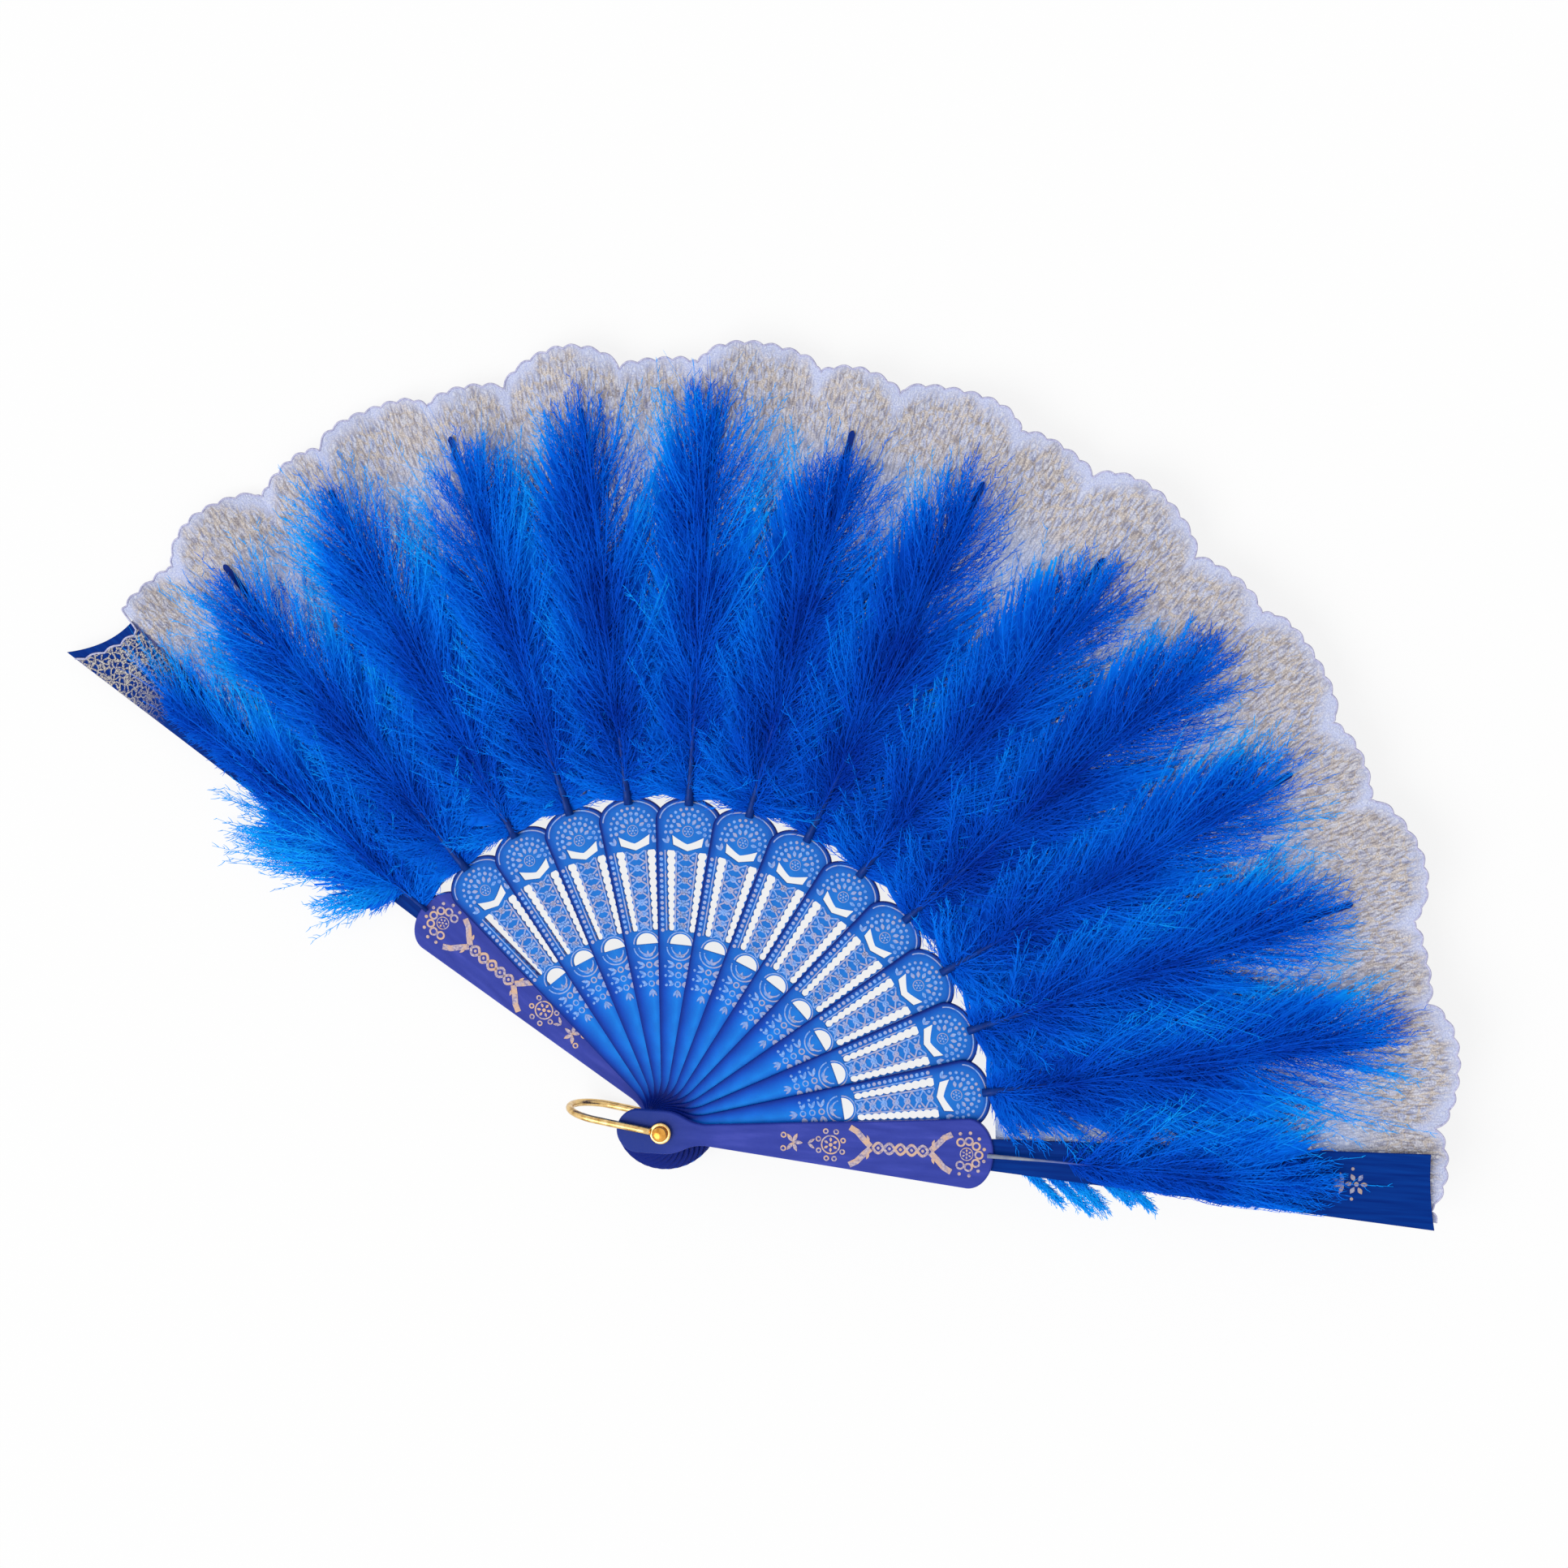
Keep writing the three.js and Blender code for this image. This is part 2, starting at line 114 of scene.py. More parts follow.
# Ribs and slats
RIB_START = 97.9
RIB_WIDTHS = (4.2, 1.8)
RIB_TIP = 212.0
RIB_CROWN = 1.0
RIB_THICKNESS = 0.5
SLAT_START = 94.0
SLAT_WIDTHS = (9.0, 22.0)
SLAT_LEAN = 2.0  # how far the slat's tip lies outwards of its centre line
SLAT_TIP = 224.0
FRONT_SLANT = 2.0
FRONT_HOLLOW = 0.6
REAR_EXTRA = 2.0
REAR_SLANT = 10.0
REAR_HOLLOW = 2.5
SLAT_THICKNESS = 1.0

# Rivet and bail
SHAFT_CLEARANCE = 0.3
RIVET_HEAD = 1.2
CAP_RADIUS = 2.3
CAP_RIM = 0.7
CAP_HOLLOW = 0.9
CAP_STEPS = 12
BAIL_ANGLE = math.radians(190.9)
BAIL_WIRE = 1.1
BAIL_REACH = 31.0
BAIL_CLEARANCE = 0.15
LEG_START = CAP_RADIUS + 0.5
EYE_RADIUS = 3.2
EYE_THICKNESS = 1.4
EYE_EDGE = 0.4

# Lace leaf
LEAF_INNER = 98.6
LEAF_VALLEY = 222.0  # radius between two lobes of the scalloped rim, at the rear guard
LEAF_SWELL = 7.5
SWELL_ANGLE = math.radians(95)  # from the rear guard to where the rim swells most
SWELL_REACH = math.radians(60)
LOBE_PAIR = math.radians(15.2)
FIRST_LOBE = math.radians(7.4)
LARGE_SHARE = 0.6
LOBE_HEIGHTS = (7.0, 3.2)
BAND_SPREAD = 6.5  # how much wider the pale band along the rim is between lobes
PICOT_PITCH = 5.2
PICOT_HEIGHT = 1.0
RIM_WAVER = ((0.8, 33.0), (0.6, 19.0))  # uneven rim: heights, and waves per radian
PLEAT_INNER = 1.0
PLEAT_OUTER = 3.2
PLEAT_RUN = 120.0  # length over which a pleat deepens
PLEAT_CURVE = 1.15
LEAF_COLUMNS = 132
LEAF_ROWS = 36
HEM_RADIUS = 0.3
SLAT_LAP = 0.255  # share of a gap that a guard's slat takes up
LAP_EDGE = 0.055  # the net over the rear slat ends this share of a gap before the slat's edge
LAP_FADE = 0.035
LAP_MARGIN = 0.4
SLAT_END_SHOWN = 3.5  # how much of the rear slat's end the leaf leaves bare
PAST_BAND = 10.0  # added to the distance from the rim over the slat, which has no pale band
LEAF_UNDER_SLAT = 0.35
OVER_REAR_LEAF = 0.2  # from the leaf over the rear slat up to where that guard's feather lies
LEAF_SCALE_RADIUS = 200.0

# Quills
FEATHER_START = 98.4
FEATHER_LENGTH = 101.0
LENGTH_RANGE = (0.93, 1.05)
GUARD_FEATHERS = {0: 0.95, GAPS: 0.88}  # lengths of the guards' feathers, against the others
FIRST_SEED = 100
QUILL_STATIONS = (0, 0.2, 0.4, 1)
QUILL_RADII = (1.3, 0.65, 0.35, 0.12)
QUILL_ROOT = -0.02  # where it starts, as a share of its length
QUILL_STEPS = 34
QUILL_BOW = 2.2
QUILL_GAP = 0.2
QUILL_ARCH = 1.2
ARCH_TURN = 0.85 * math.pi
GUARD_QUILL = 0.5  # radius of the guards' quills, against the others

# Barbs
BARBS_PER_SIDE = 430
BARB_LENGTH = 30.0
BARB_POINTS = 8
BARB_WIDTHS = (0.32, 0.11)  # at the root and the tip, as for the other strands
BARB_STATIONS = (0, 0.15, 0.4, 0.7, 0.9, 1)  # shares of the quill's length, for the two lists below
BARB_ANGLES = (93, 55, 46, 43, 37, 21)
BARB_LENGTHS = (0.6, 0.85, 1, 1.1, 0.86, 0.45)  # against BARB_LENGTH
BARB_SIZES = (0.72, 1.1)  # range of single barbs' lengths, against the rest
BARB_SWAY = 6  # spread of the angles, in degrees
BARB_RISE = 7  # above the leaf, in degrees
RISE_SPREAD = 7
BARB_BEND = (0.09, 0.2, -0.18)  # inwards, along the quill and up, as shares of the barb's length
BEND_SPREAD = (0.05, 0.06, 0.1)
WAVE_HEIGHT = 0.45
WAVE_TURN = 7
LEANS = {(0, -1): 1.15, (GAPS, 1): 0.8}  # angles on the guards' outer sides, against the others
STRAYS = 0.3  # share of the barbs that lie over the quill
STRAY_LEANS = (0.1, 0.8)
STRAY_RISE = 12
THINNING_START = 0.4  # past this share of the quill, barbs thin out towards the tip
TIP_THINNING = 0.4
SIDE_THINNING = 0.5  # on the side where a feather is thinner
THIN_RIGHT = 0.75  # share of the feathers that are thinner on the right
RUFFLE = 0.1  # how unevenly the strands face
FLUFF = 9.0  # the height that the down doesn't pass
CLEARANCE = 0.35
BESIDE_FAN = 0.8  # height above the table, past the guards
RIB_MARGIN = 0.3
SLAT_HOLD = 3.0  # width along the front slat's outer edge where barbs turn to run along it

# Clumps of barbs: their number on a side, how closely they gather, and how much they differ
CLUMPS = 22
CLUMPING = 0.4
CLUMP_SWAY = 4
CLUMP_RISE = 6
CLUMP_SIZE = 0.12
CLUMP_TINT = 0.05

# Barbules
BARBULES = 22
BARBULE_LENGTH = (1.8, 4.8)
BARBULE_WIDTHS = (0.26, 0.09)
BARBULE_LEAN = (25, 58)
BARBULE_TAPER = 0.4
FIRST_BARBULE = 0.03  # as a share of the barb's length
NEAR = 0.02  # the same, for the points on both sides that give the barb's direction
BARBULE_MIDDLE = 0.55
BARBULE_TIP = (0.9, 0.2)  # along its own direction and along the barb
BARBULE_DROP = 0.1

# Soft strands under the barbs, and long bare ones past the tip
UNDERCOAT = 150
UNDERCOAT_WIDTHS = (1.5, 0.6)
UNDERCOAT_SIZES = (0.62, 0.9)
UNDERCOAT_END = 0.82  # share of the quill
THIN_UNDERCOAT_END = 0.62  # the same on the thinner side
UNDERCOAT_SWAY = 3
UNDERCOAT_BEND = (0.09, 0.2, -0.05)
UNDERCOAT_DROP = 0.5
UNDERCOAT_CLEARANCE = 0.25
UNDERCOAT_TINT = 0.04
WISPS = 130
WISP_PLACES = (0.6, 1)
WISP_LENGTH = (12, 27)
WISP_WIDTHS = (0.2, 0.06)
WISP_SWAY = 26
WISP_BEND = (0, 0.1, -0.1)
WISP_BEND_SPREAD = 0.08
WISP_RISE = (2, 12)
WISP_TINTS = (-0.1, 0.3)

# Sides of a feather that aren't full, by stick and side. Each says what share of the quill is bare, where a
# stretch with other barbs starts and ends, how long these are, how many more spill there, and how long the
# rest of the barbs are.
Edge = namedtuple("Edge", "bare start end size spill trim")
PAST_TIP = 1.2
EDGES = {
    (0, -1): Edge(0.08, 0.08, 0.47, 0.9, 0.7, 0.27),
    (GAPS - 1, 1): Edge(0.0, 0.14, PAST_TIP, 1.15, 0.0, 0.95),
    (GAPS, -1): Edge(0.22, 0.5, PAST_TIP, 0.95, 0.0, 0.9),
    (GAPS, 1): Edge(0.24, 0.6, PAST_TIP, 0.7, 0.0, 0.5),
}
EDGE_FADES = (0.05, 0.08)  # at the start and the end of the stretch
BARE_FADE = 0.3  # share of the front guard's quill over which its barbs set in
RAGGED = 0.24  # spread of the clumps' lengths where barbs spill over a guard
EVEN = 0.08  # the same on the other sides listed
SPILL_CLUMPING = 0.95
SPILL_DROP = 0.2
SPILL_TINT = 0.36

# Tufts from behind the front slat
TUFTS = ((105, 20), (111.5, 22), (117.5, 20), (128, 15), (133.5, 16))  # root radius and length
TUFT_BARBS = 44
TUFT_ANGLE = 47
TUFT_FAN = 4  # how far the outer barbs of a tuft turn away, in degrees
TUFT_SWAY = 2
TUFT_HALF = 2.5
TUFT_INSET = 4
TUFT_DROP = SLAT_THICKNESS + 0.8
TUFT_BEND = (0, 0.05, -0.2)
TUFT_BEND_SPREAD = 0.04
TUFT_TAPER = 0.3
TUFT_SIZES = (0.86, 1.0)
TUFT_FUZZ = 0.6  # length of the tufts' barbules, against the others
TUFT_TINT = (0.5, 0.08)  # middle and spread

# Dye of the down, from 0, deep royal blue, to 1, azure: along the quill, and what the edge, tip and root add
QUILL_TINT = 0.11
EDGE_TINT = 0.54
TIP_TINT = 0.30
ROOT_TINT = 0.30
ROOT_REACH = 0.09  # share of the quill over which it lightens towards the root
EDGE_REACH = 17.0  # distance from the quill over which it lightens towards the edge
FEATHER_TINT = 0.04  # spread between feathers
BARB_TINT = 0.03  # spread between barbs
DEEPEST = 7.5  # the feathers right of the middle are dyed deepest
DEEPER = 0.18
DEEP_SPREAD = 3

# Finishes
BUMP = 0.0002
THREAD_BUMP = 0.0003
PAINTED_HIGHLIGHT_FADE = (44 * MM, 58 * MM)  # where the painted highlight along a stick's middle gives way to its printed part
RIB_FADE = 6 * MM
RIVET_SHADE = (-4 * MM, 18 * MM)  # where a guard's navy end gives way to indigo
BARE_QUILL = (108 * MM, 126 * MM)  # where a bare quill gives way to a dyed one
GOLD_THREAD = (194, 212)  # radii over which gold thread comes into the lace
FEATHER_BOUNCE_FADE = (182, 212)  # radii over which the painted blue light, bounced from the feathers onto the lace near the sticks, fades out
PALE_BAND = (0.0065, 0.0115)  # distances from the rim over which the pale band ends

# Floor, light and camera, as the photograph was taken
FLOOR_HALF = 3.0
FLOOR_DROP = 0.0002
FLOOR_WHITE = 0.84
SKY_LIGHT = 0.62
KEY_ENERGY = 1.7
KEY_SIZE = math.radians(50)
KEY_TURN = (math.radians(28), math.radians(-24), 0)
CAMERA_AZIMUTH = math.radians(147.6)
CAMERA_ELEVATION = math.radians(76.7)
CAMERA_ROLL = math.radians(-126.4)
CAMERA_DISTANCE = 1.129
CAMERA_AIM = Vector((-0.0033, 0.1087, 0.011))
CAMERA_LENS = 89.1
CAMERA_NEAR = 0.01
SENSOR = 36.0


# Places in the stack

def stick_angle(i):
    """Angle of stick i from +Y, counterclockwise: 0 is the rear guard, GAPS the front guard."""
    return SPREAD / 2 - i * STEP


def low(node):
    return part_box(node)[0][2] / MM


def high(node):
    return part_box(node)[1][2] / MM


def seat(i, height):
    """Transform from stick i's own frame, with +Y along it and Z = 0 at a height in the stack."""
    return Matrix.Translation((0, 0, height * MM)) @ Matrix.Rotation(stick_angle(i), 4, "Z")


LEAF_LEVELS = [(low(f"leaf_panel_{i:02d}") + high(f"leaf_panel_{i:02d}")) / 2 for i in range(1, GAPS + 1)]
LEAF_LEVELS.append(low("front_guard") - LEAF_UNDER_SLAT)
RIB_TOPS = [LEAF_LEVELS[0] + OVER_REAR_LEAF]
RIB_TOPS += [high(node) for node in CARRIERS[1:-1]]
RIB_TOPS.append(low("front_guard") + SLAT_THICKNESS)


# Materials

class Paint:
    """The nodes of a material or of the world. A value may be a number, a colour or another node's output."""

    def __init__(self, owner):
        owner.use_nodes = True
        self.owner = owner
        self.tree = owner.node_tree

    def fill(self, socket, value):
        if isinstance(value, bpy.types.NodeSocket):
            self.tree.links.new(value, socket)
        else:
            socket.default_value = (*value, 1.0) if socket.type == "RGBA" else value

    def set(self, **inputs):
        """Inputs of the material's own shader, named with _ for each space."""
        for key, value in inputs.items():
            self.fill(self.tree.nodes["Principled BSDF"].inputs[key.replace("_", " ")], value)

    def node(self, kind, inputs, **settings):
        made = self.tree.nodes.new(f"ShaderNode{kind}")
        for key, value in settings.items():
            setattr(made, key, value)
        for key, value in inputs.items():
            self.fill(made.inputs[key], value)
        return made

    def coords(self):
        return self.node("TexCoord", {}).outputs["Object"]

    def split(self, coords):
        made = self.node("SeparateXYZ", {"Vector": coords})
        return made.outputs["X"], made.outputs["Y"]

    def stretched(self, coords, along):
        return self.node("Mapping", {"Vector": coords, "Scale": (1.0, along, 1.0)}).outputs[0]

    def attribute(self, name):
        return self.node("Attribute", {}, attribute_name=name).outputs["Fac"]

    def maths(self, operation, *values):
        return self.node("Math", dict(enumerate(values)), operation=operation).outputs[0]

    def vectors(self, operation, *values):
        return self.node("VectorMath", dict(enumerate(values)), operation=operation).outputs[0]

    def remap(self, value, start=0.0, end=1.0, first=0.0, last=1.0):
        """Runs from first to last as the value goes from start to end."""
        inputs = {"Value": value, "From Min": start, "From Max": end, "To Min": first, "To Max": last}
        return self.node("MapRange", inputs).outputs[0]

    def ramp(self, factor, *stops):
        made = self.node("ValToRGB", {"Fac": factor})
        elements = made.color_ramp.elements
        while len(elements) < len(stops):
            elements.new(1.0)
        for element, (place, colour) in zip(elements, stops):
            element.position = place
            element.color = (*colour, 1.0)
        return made.outputs["Color"]

    def mix(self, factor, first, second, blend="MIX"):
        made = self.node("Mix", {0: factor, 6: first, 7: second}, data_type="RGBA", blend_type=blend)
        return made.outputs[2]

    def noise(self, coords, scale, detail=4.0, output="Fac"):
        return self.node("TexNoise", {"Vector": coords, "Scale": scale, "Detail": detail}).outputs[output]

    def threads(self, coords, scale, thin, thick):
        """1 along the threads of a net and 0 in its holes."""
        net = self.node("TexVoronoi", {"Vector": coords, "Scale": scale}, feature="DISTANCE_TO_EDGE")
        return self.remap(net.outputs["Distance"], thin, thick, 1.0, 0.0)

    def bumped(self, height, strength, distance=BUMP):
        """The material, with a bump as its last touch."""
        made = self.node("Bump", {"Height": height, "Strength": strength, "Distance": distance})
        self.set(Normal=made.outputs["Normal"])
        return self.owner


def finish(name):
    return Paint(bpy.data.materials.new(name))


def blade_plastic():
    """Glossy royal blue, paler along the middle of the blade with a painted highlight and darker at its edges
    with painted shade, where the sticks overlap, with navy ribs.
    """
    paint = finish("stick_plastic")
    coords = paint.coords()
    across, along = paint.split(coords)
    growth = (STICK_HEAD_WIDTH - NECK_WIDTH) / 2 / (SHOULDER - NECK_RADIUS)
    from_neck = paint.maths("SUBTRACT", along, NECK_RADIUS * MM)
    half = paint.maths("MULTIPLY_ADD", from_neck, growth, NECK_WIDTH / 2 * MM)
    share = paint.maths("DIVIDE", paint.maths("ABSOLUTE", across), half)
    # painted highlight along the middle of the lower blade, and painted shade darkening its edges
    inner = paint.ramp(share, (0.0, (0.006, 0.24, 0.86)), (0.35, (0.004, 0.16, 0.74)),
                       (0.7, (0.002, 0.07, 0.52)), (1.0, (0.001, 0.015, 0.22)))
    past = paint.maths("SUBTRACT", along, SHOULDER * MM)
    over = paint.maths("MAXIMUM", paint.maths("DIVIDE", past, (HEAD_TOP - SHOULDER) * MM), 0.0)
    squares = paint.maths("MULTIPLY_ADD", over, over, paint.maths("MULTIPLY", share, share))
    # painted shade darkening the edges of the upper blade and the rim of its head
    outer = paint.ramp(paint.maths("SQRT", squares), (0.0, (0.014, 0.20, 0.70)), (0.7, (0.010, 0.15, 0.62)),
                       (0.88, (0.004, 0.085, 0.48)), (0.96, (0.001, 0.016, 0.2)))
    blade = paint.mix(paint.remap(along, *PAINTED_HIGHLIGHT_FADE), inner, outer)
    rib = paint.remap(along, HEAD_TOP * MM, HEAD_TOP * MM + RIB_FADE)
    colour = paint.mix(rib, blade, (0.002, 0.03, 0.26))
    shade = paint.ramp(paint.noise(coords, 240.0), (0.3, (0.78, 0.80, 0.85)), (0.7, (1.0, 1.0, 1.0)))
    paint.set(Base_Color=paint.mix(1.0, colour, shade, "MULTIPLY"), Specular_IOR_Level=0.06,
              Roughness=paint.remap(paint.noise(coords, 900.0), first=0.2, last=0.38))
    return paint.bumped(paint.noise(coords, 1500.0), 0.12)


def guard_plastic():
    """Satin indigo, a little streaked along its length and navy round the rivet."""
    paint = finish("guard_plastic")
    coords = paint.coords()
    streak = paint.noise(paint.stretched(coords, 0.16), 420.0)
    blade = paint.ramp(streak, (0.25, (0.020, 0.036, 0.30)), (0.55, (0.032, 0.052, 0.37)),
                       (0.8, (0.055, 0.075, 0.45)))
    reach = paint.remap(paint.split(coords)[1], *RIVET_SHADE)
    paint.set(Base_Color=paint.mix(reach, (0.012, 0.035, 0.26), blade), Specular_IOR_Level=0.12,
              Roughness=paint.remap(paint.noise(coords, 800.0), first=0.3, last=0.5))
    return paint.bumped(paint.noise(coords, 1800.0), 0.1)


def slat_plastic():
    """Navy satin with a faint lengthwise grain."""
    paint = finish("slat_plastic")
    grain = paint.noise(paint.stretched(paint.coords(), 0.05), 900.0)
    colour = paint.ramp(grain, (0.3, (0.0, 0.020, 0.19)), (0.7, (0.001, 0.040, 0.28)))
    paint.set(Base_Color=colour, Roughness=0.42, Specular_IOR_Level=0.03)
    return paint.bumped(grain, 0.15)


def print_metal(name, dark, light, warm):
    """Metallic printing on raised ornament, speckled where it has worn and warmer in patches."""
    paint = finish(name)
    coords = paint.coords()
    speck = paint.noise(coords, 1400.0, 6.0)
    patch = paint.remap(paint.noise(coords, 330.0, 2.0), 0.42, 0.6)
    colour = paint.mix(patch, paint.ramp(speck, (0.35, dark), (0.6, light)), warm)
    paint.set(Base_Color=colour, Roughness=paint.remap(speck, first=0.35, last=0.6), Metallic=0.25,
              Specular_IOR_Level=0.25)
    return paint.bumped(speck, 0.25)


def brass(name, dark, light):
    """Drawn brass, unevenly tarnished."""
    paint = finish(name)
    coords = paint.coords()
    tarnish = paint.noise(coords, 500.0, 5.0)
    paint.set(Base_Color=paint.ramp(tarnish, (0.3, dark), (0.6, light)), Metallic=1.0,
              Roughness=paint.remap(tarnish, first=0.14, last=0.34))
    return paint.bumped(paint.noise(coords, 2500.0), 0.08)


def lace():
    """Fine lavender net with gold thread looped through it, paler at its rim and open over the slat."""
    paint = finish("lace")
    flat = paint.node("UVMap", {}, uv_map="flat").outputs["UV"]
    rim, slat = paint.attribute("rim"), paint.attribute("slat")
    out = paint.split(flat)[1]
    push = paint.vectors("MULTIPLY", paint.noise(flat, 0.35, 2.0, "Color"), (2.2, 2.2, 0.0))
    bent = paint.vectors("ADD", flat, push)
    drawn = paint.stretched(bent, 0.42)
    fine_net = paint.threads(drawn, 1.15, 0.06, 0.28)
    gold_net = paint.threads(drawn, 0.62, 0.05, 0.16)
    streaks = paint.stretched(flat, 0.18)
    grain = paint.noise(flat, 2.4, 3.0)
    drift = paint.noise(streaks, 0.16, 2.0)
    lavender = paint.ramp(grain, (0.3, (0.30, 0.33, 0.48)), (0.7, (0.64, 0.68, 0.88)))
    gold = paint.ramp(grain, (0.3, (0.36, 0.32, 0.31)), (0.7, (0.78, 0.70, 0.64)))
    warm = paint.remap(drift, 0.40, 0.62)
    golden = paint.maths("MAXIMUM", gold_net, paint.maths("MULTIPLY", warm, 0.5))
    threaded = paint.remap(out, *GOLD_THREAD)
    body = paint.mix(paint.maths("MULTIPLY", golden, threaded), lavender, gold)
    lines = paint.ramp(paint.noise(streaks, 1.5), (0.38, (0.50, 0.50, 0.58)), (0.56, (1.0, 1.0, 1.0)))
    body = paint.mix(1.0, body, lines, "MULTIPLY")
    # painted blue light, bounced from the feathers onto the lace under them near the sticks
    body = paint.mix(paint.remap(out, *FEATHER_BOUNCE_FADE, 0.75, 0.0), body, (0.50, 0.66, 0.96))
    body = paint.mix(paint.maths("MULTIPLY", slat, 0.8), body, (0.62, 0.57, 0.48))
    soft_rim = paint.maths("MULTIPLY_ADD", grain, 0.003, paint.maths("MULTIPLY_ADD", drift, 0.012, rim))
    band = paint.remap(soft_rim, *PALE_BAND, 1.0, 0.0)
    edge = paint.ramp(grain, (0.3, (0.40, 0.44, 0.66)), (0.7, (0.64, 0.69, 0.90)))
    threads = paint.maths("MAXIMUM", fine_net, gold_net)
    cover = paint.remap(threads, first=0.66, last=1.0)
    cover = paint.maths("MAXIMUM", cover, paint.maths("MULTIPLY", band, 0.8))
    sparse = paint.maths("MULTIPLY", paint.threads(bent, 0.62, 0.04, 0.2), paint.remap(grain, 0.38, 0.52))
    open_net = paint.maths("SUBTRACT", paint.maths("MULTIPLY", sparse, threaded), cover)
    cover = paint.maths("MULTIPLY_ADD", open_net, slat, cover)
    crossing = paint.maths("MULTIPLY", slat, paint.maths("SUBTRACT", 1.0, slat))
    alpha = paint.maths("MULTIPLY", cover, paint.maths("MULTIPLY_ADD", crossing, -3.4, 1.0))
    paint.set(Base_Color=paint.mix(band, body, edge), Alpha=alpha, Roughness=0.6, Specular_IOR_Level=0.2)
    return paint.bumped(threads, 0.5, THREAD_BUMP)


def hem_thread():
    """Twisted lavender thread along the rim."""
    paint = finish("hem_thread")
    twist = paint.noise(paint.coords(), 1200.0)
    colour = paint.ramp(twist, (0.3, (0.36, 0.36, 0.56)), (0.7, (0.64, 0.64, 0.84)))
    paint.set(Base_Color=colour, Roughness=0.55, Specular_IOR_Level=0.2)
    return paint.bumped(twist, 0.4, THREAD_BUMP)


def down():
    """Dyed down: deep royal blue at the quill, azure towards the tips, with uneven dye."""
    paint = finish("down")
    uneven = paint.maths("MULTIPLY_ADD", paint.noise(paint.coords(), 45.0, 3.0), 0.8, -0.4)
    dye = paint.maths("ADD", paint.attribute("tint"), uneven)
    colour = paint.ramp(dye, (0.0, (0.000, 0.036, 0.42)), (0.35, (0.000, 0.085, 0.66)),
                        (0.7, (0.000, 0.18, 0.88)), (1.0, (0.004, 0.38, 1.0)))
    paint.set(Base_Color=colour, Roughness=0.6, Specular_IOR_Level=0.03)
    return paint.owner


def quill_horn(name, dark, light):
    """Quill, in its own colours where it is bare near the head and deep blue further out."""
    paint = finish(name)
    coords = paint.coords()
    vein = paint.noise(coords, 300.0)
    bare = paint.ramp(vein, (0.3, dark), (0.7, light))
    dyed = paint.remap(paint.split(coords)[1], *BARE_QUILL)
    paint.set(Base_Color=paint.mix(dyed, bare, (0.0, 0.05, 0.46)), Roughness=0.35, Specular_IOR_Level=0.12)
    return paint.bumped(vein, 0.1)


# Mesh building

class Build:
    """Points in millimetres and faces, gathered from several shapes."""

    def __init__(self):
        self.points = []
        self.faces = []

    def add(self, points, faces):
        start = len(self.points)
        self.points += [tuple(p) for p in points]
        self.faces += [tuple(start + v for v in face) for face in faces]

    def mesh(self, name, material, smooth=True):
        mesh = bpy.data.meshes.new(name)
        mesh.from_pydata([Vector(p) * MM for p in self.points], [], self.faces)
        mesh.validate()
        mesh.materials.append(material)
        if smooth:
            mesh.shade_smooth()
        return mesh


def new_object(name, data):
    made = bpy.data.objects.new(name, data)
    bpy.context.scene.collection.objects.link(made)
    return made


def put(name, mesh, body, matrix=None, replaces=()):
    piece = new_object(name, mesh)
    if matrix is not None:
        piece.matrix_world = matrix
    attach(piece, body)
    if replaces:
        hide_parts(*replaces)
    return piece


def fit(i, part, mesh, replaces=False):
    """A piece of stick or guard i, named after it and lying where its solid does."""
    name = CARRIERS[i]
    put(f"{name}_{part}", mesh, BODIES[i], seat(i, low(name)), [name] if replaces else [])


def flatten(piece):
    """Gives a soft piece its own copy of its mesh."""
    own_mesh(piece)


def unit(vectors):
    return vectors / np.maximum(np.linalg.norm(vectors, axis=-1, keepdims=True), 1e-9)


def square(vectors):
    """Flat vectors turned a quarter turn anticlockwise."""
    return np.stack([-vectors[:, 1], vectors[:, 0]], axis=1)


def signed_area(loop):
    xy = np.asarray(loop, float)
    following = np.roll(xy, -1, axis=0)
    return 0.5 * float(np.sum(xy[:, 0] * following[:, 1] - following[:, 0] * xy[:, 1]))


def shrunk(loop, distance):
    """An anticlockwise loop moved inwards by a distance, or outwards where that is negative."""
    xy = np.asarray(loop, float)
    ahead = unit(np.roll(xy, -1, axis=0) - xy)
    inward = unit(square(ahead + np.roll(ahead, 1, axis=0)))
    miter = np.maximum(np.sum(inward * square(ahead), axis=1, keepdims=True), LEAST_MITER)
    return xy + inward / miter * distance


def bands(rings, count, start=0):
    """Faces between closed rings of points, each of the same count."""
    faces = []
    for first in range(start, start + (rings - 1) * count, count):
        for v in range(count):
            a = first + v
            b = first + (v + 1) % count
            faces.append((a, b, b + count, a + count))
    return faces


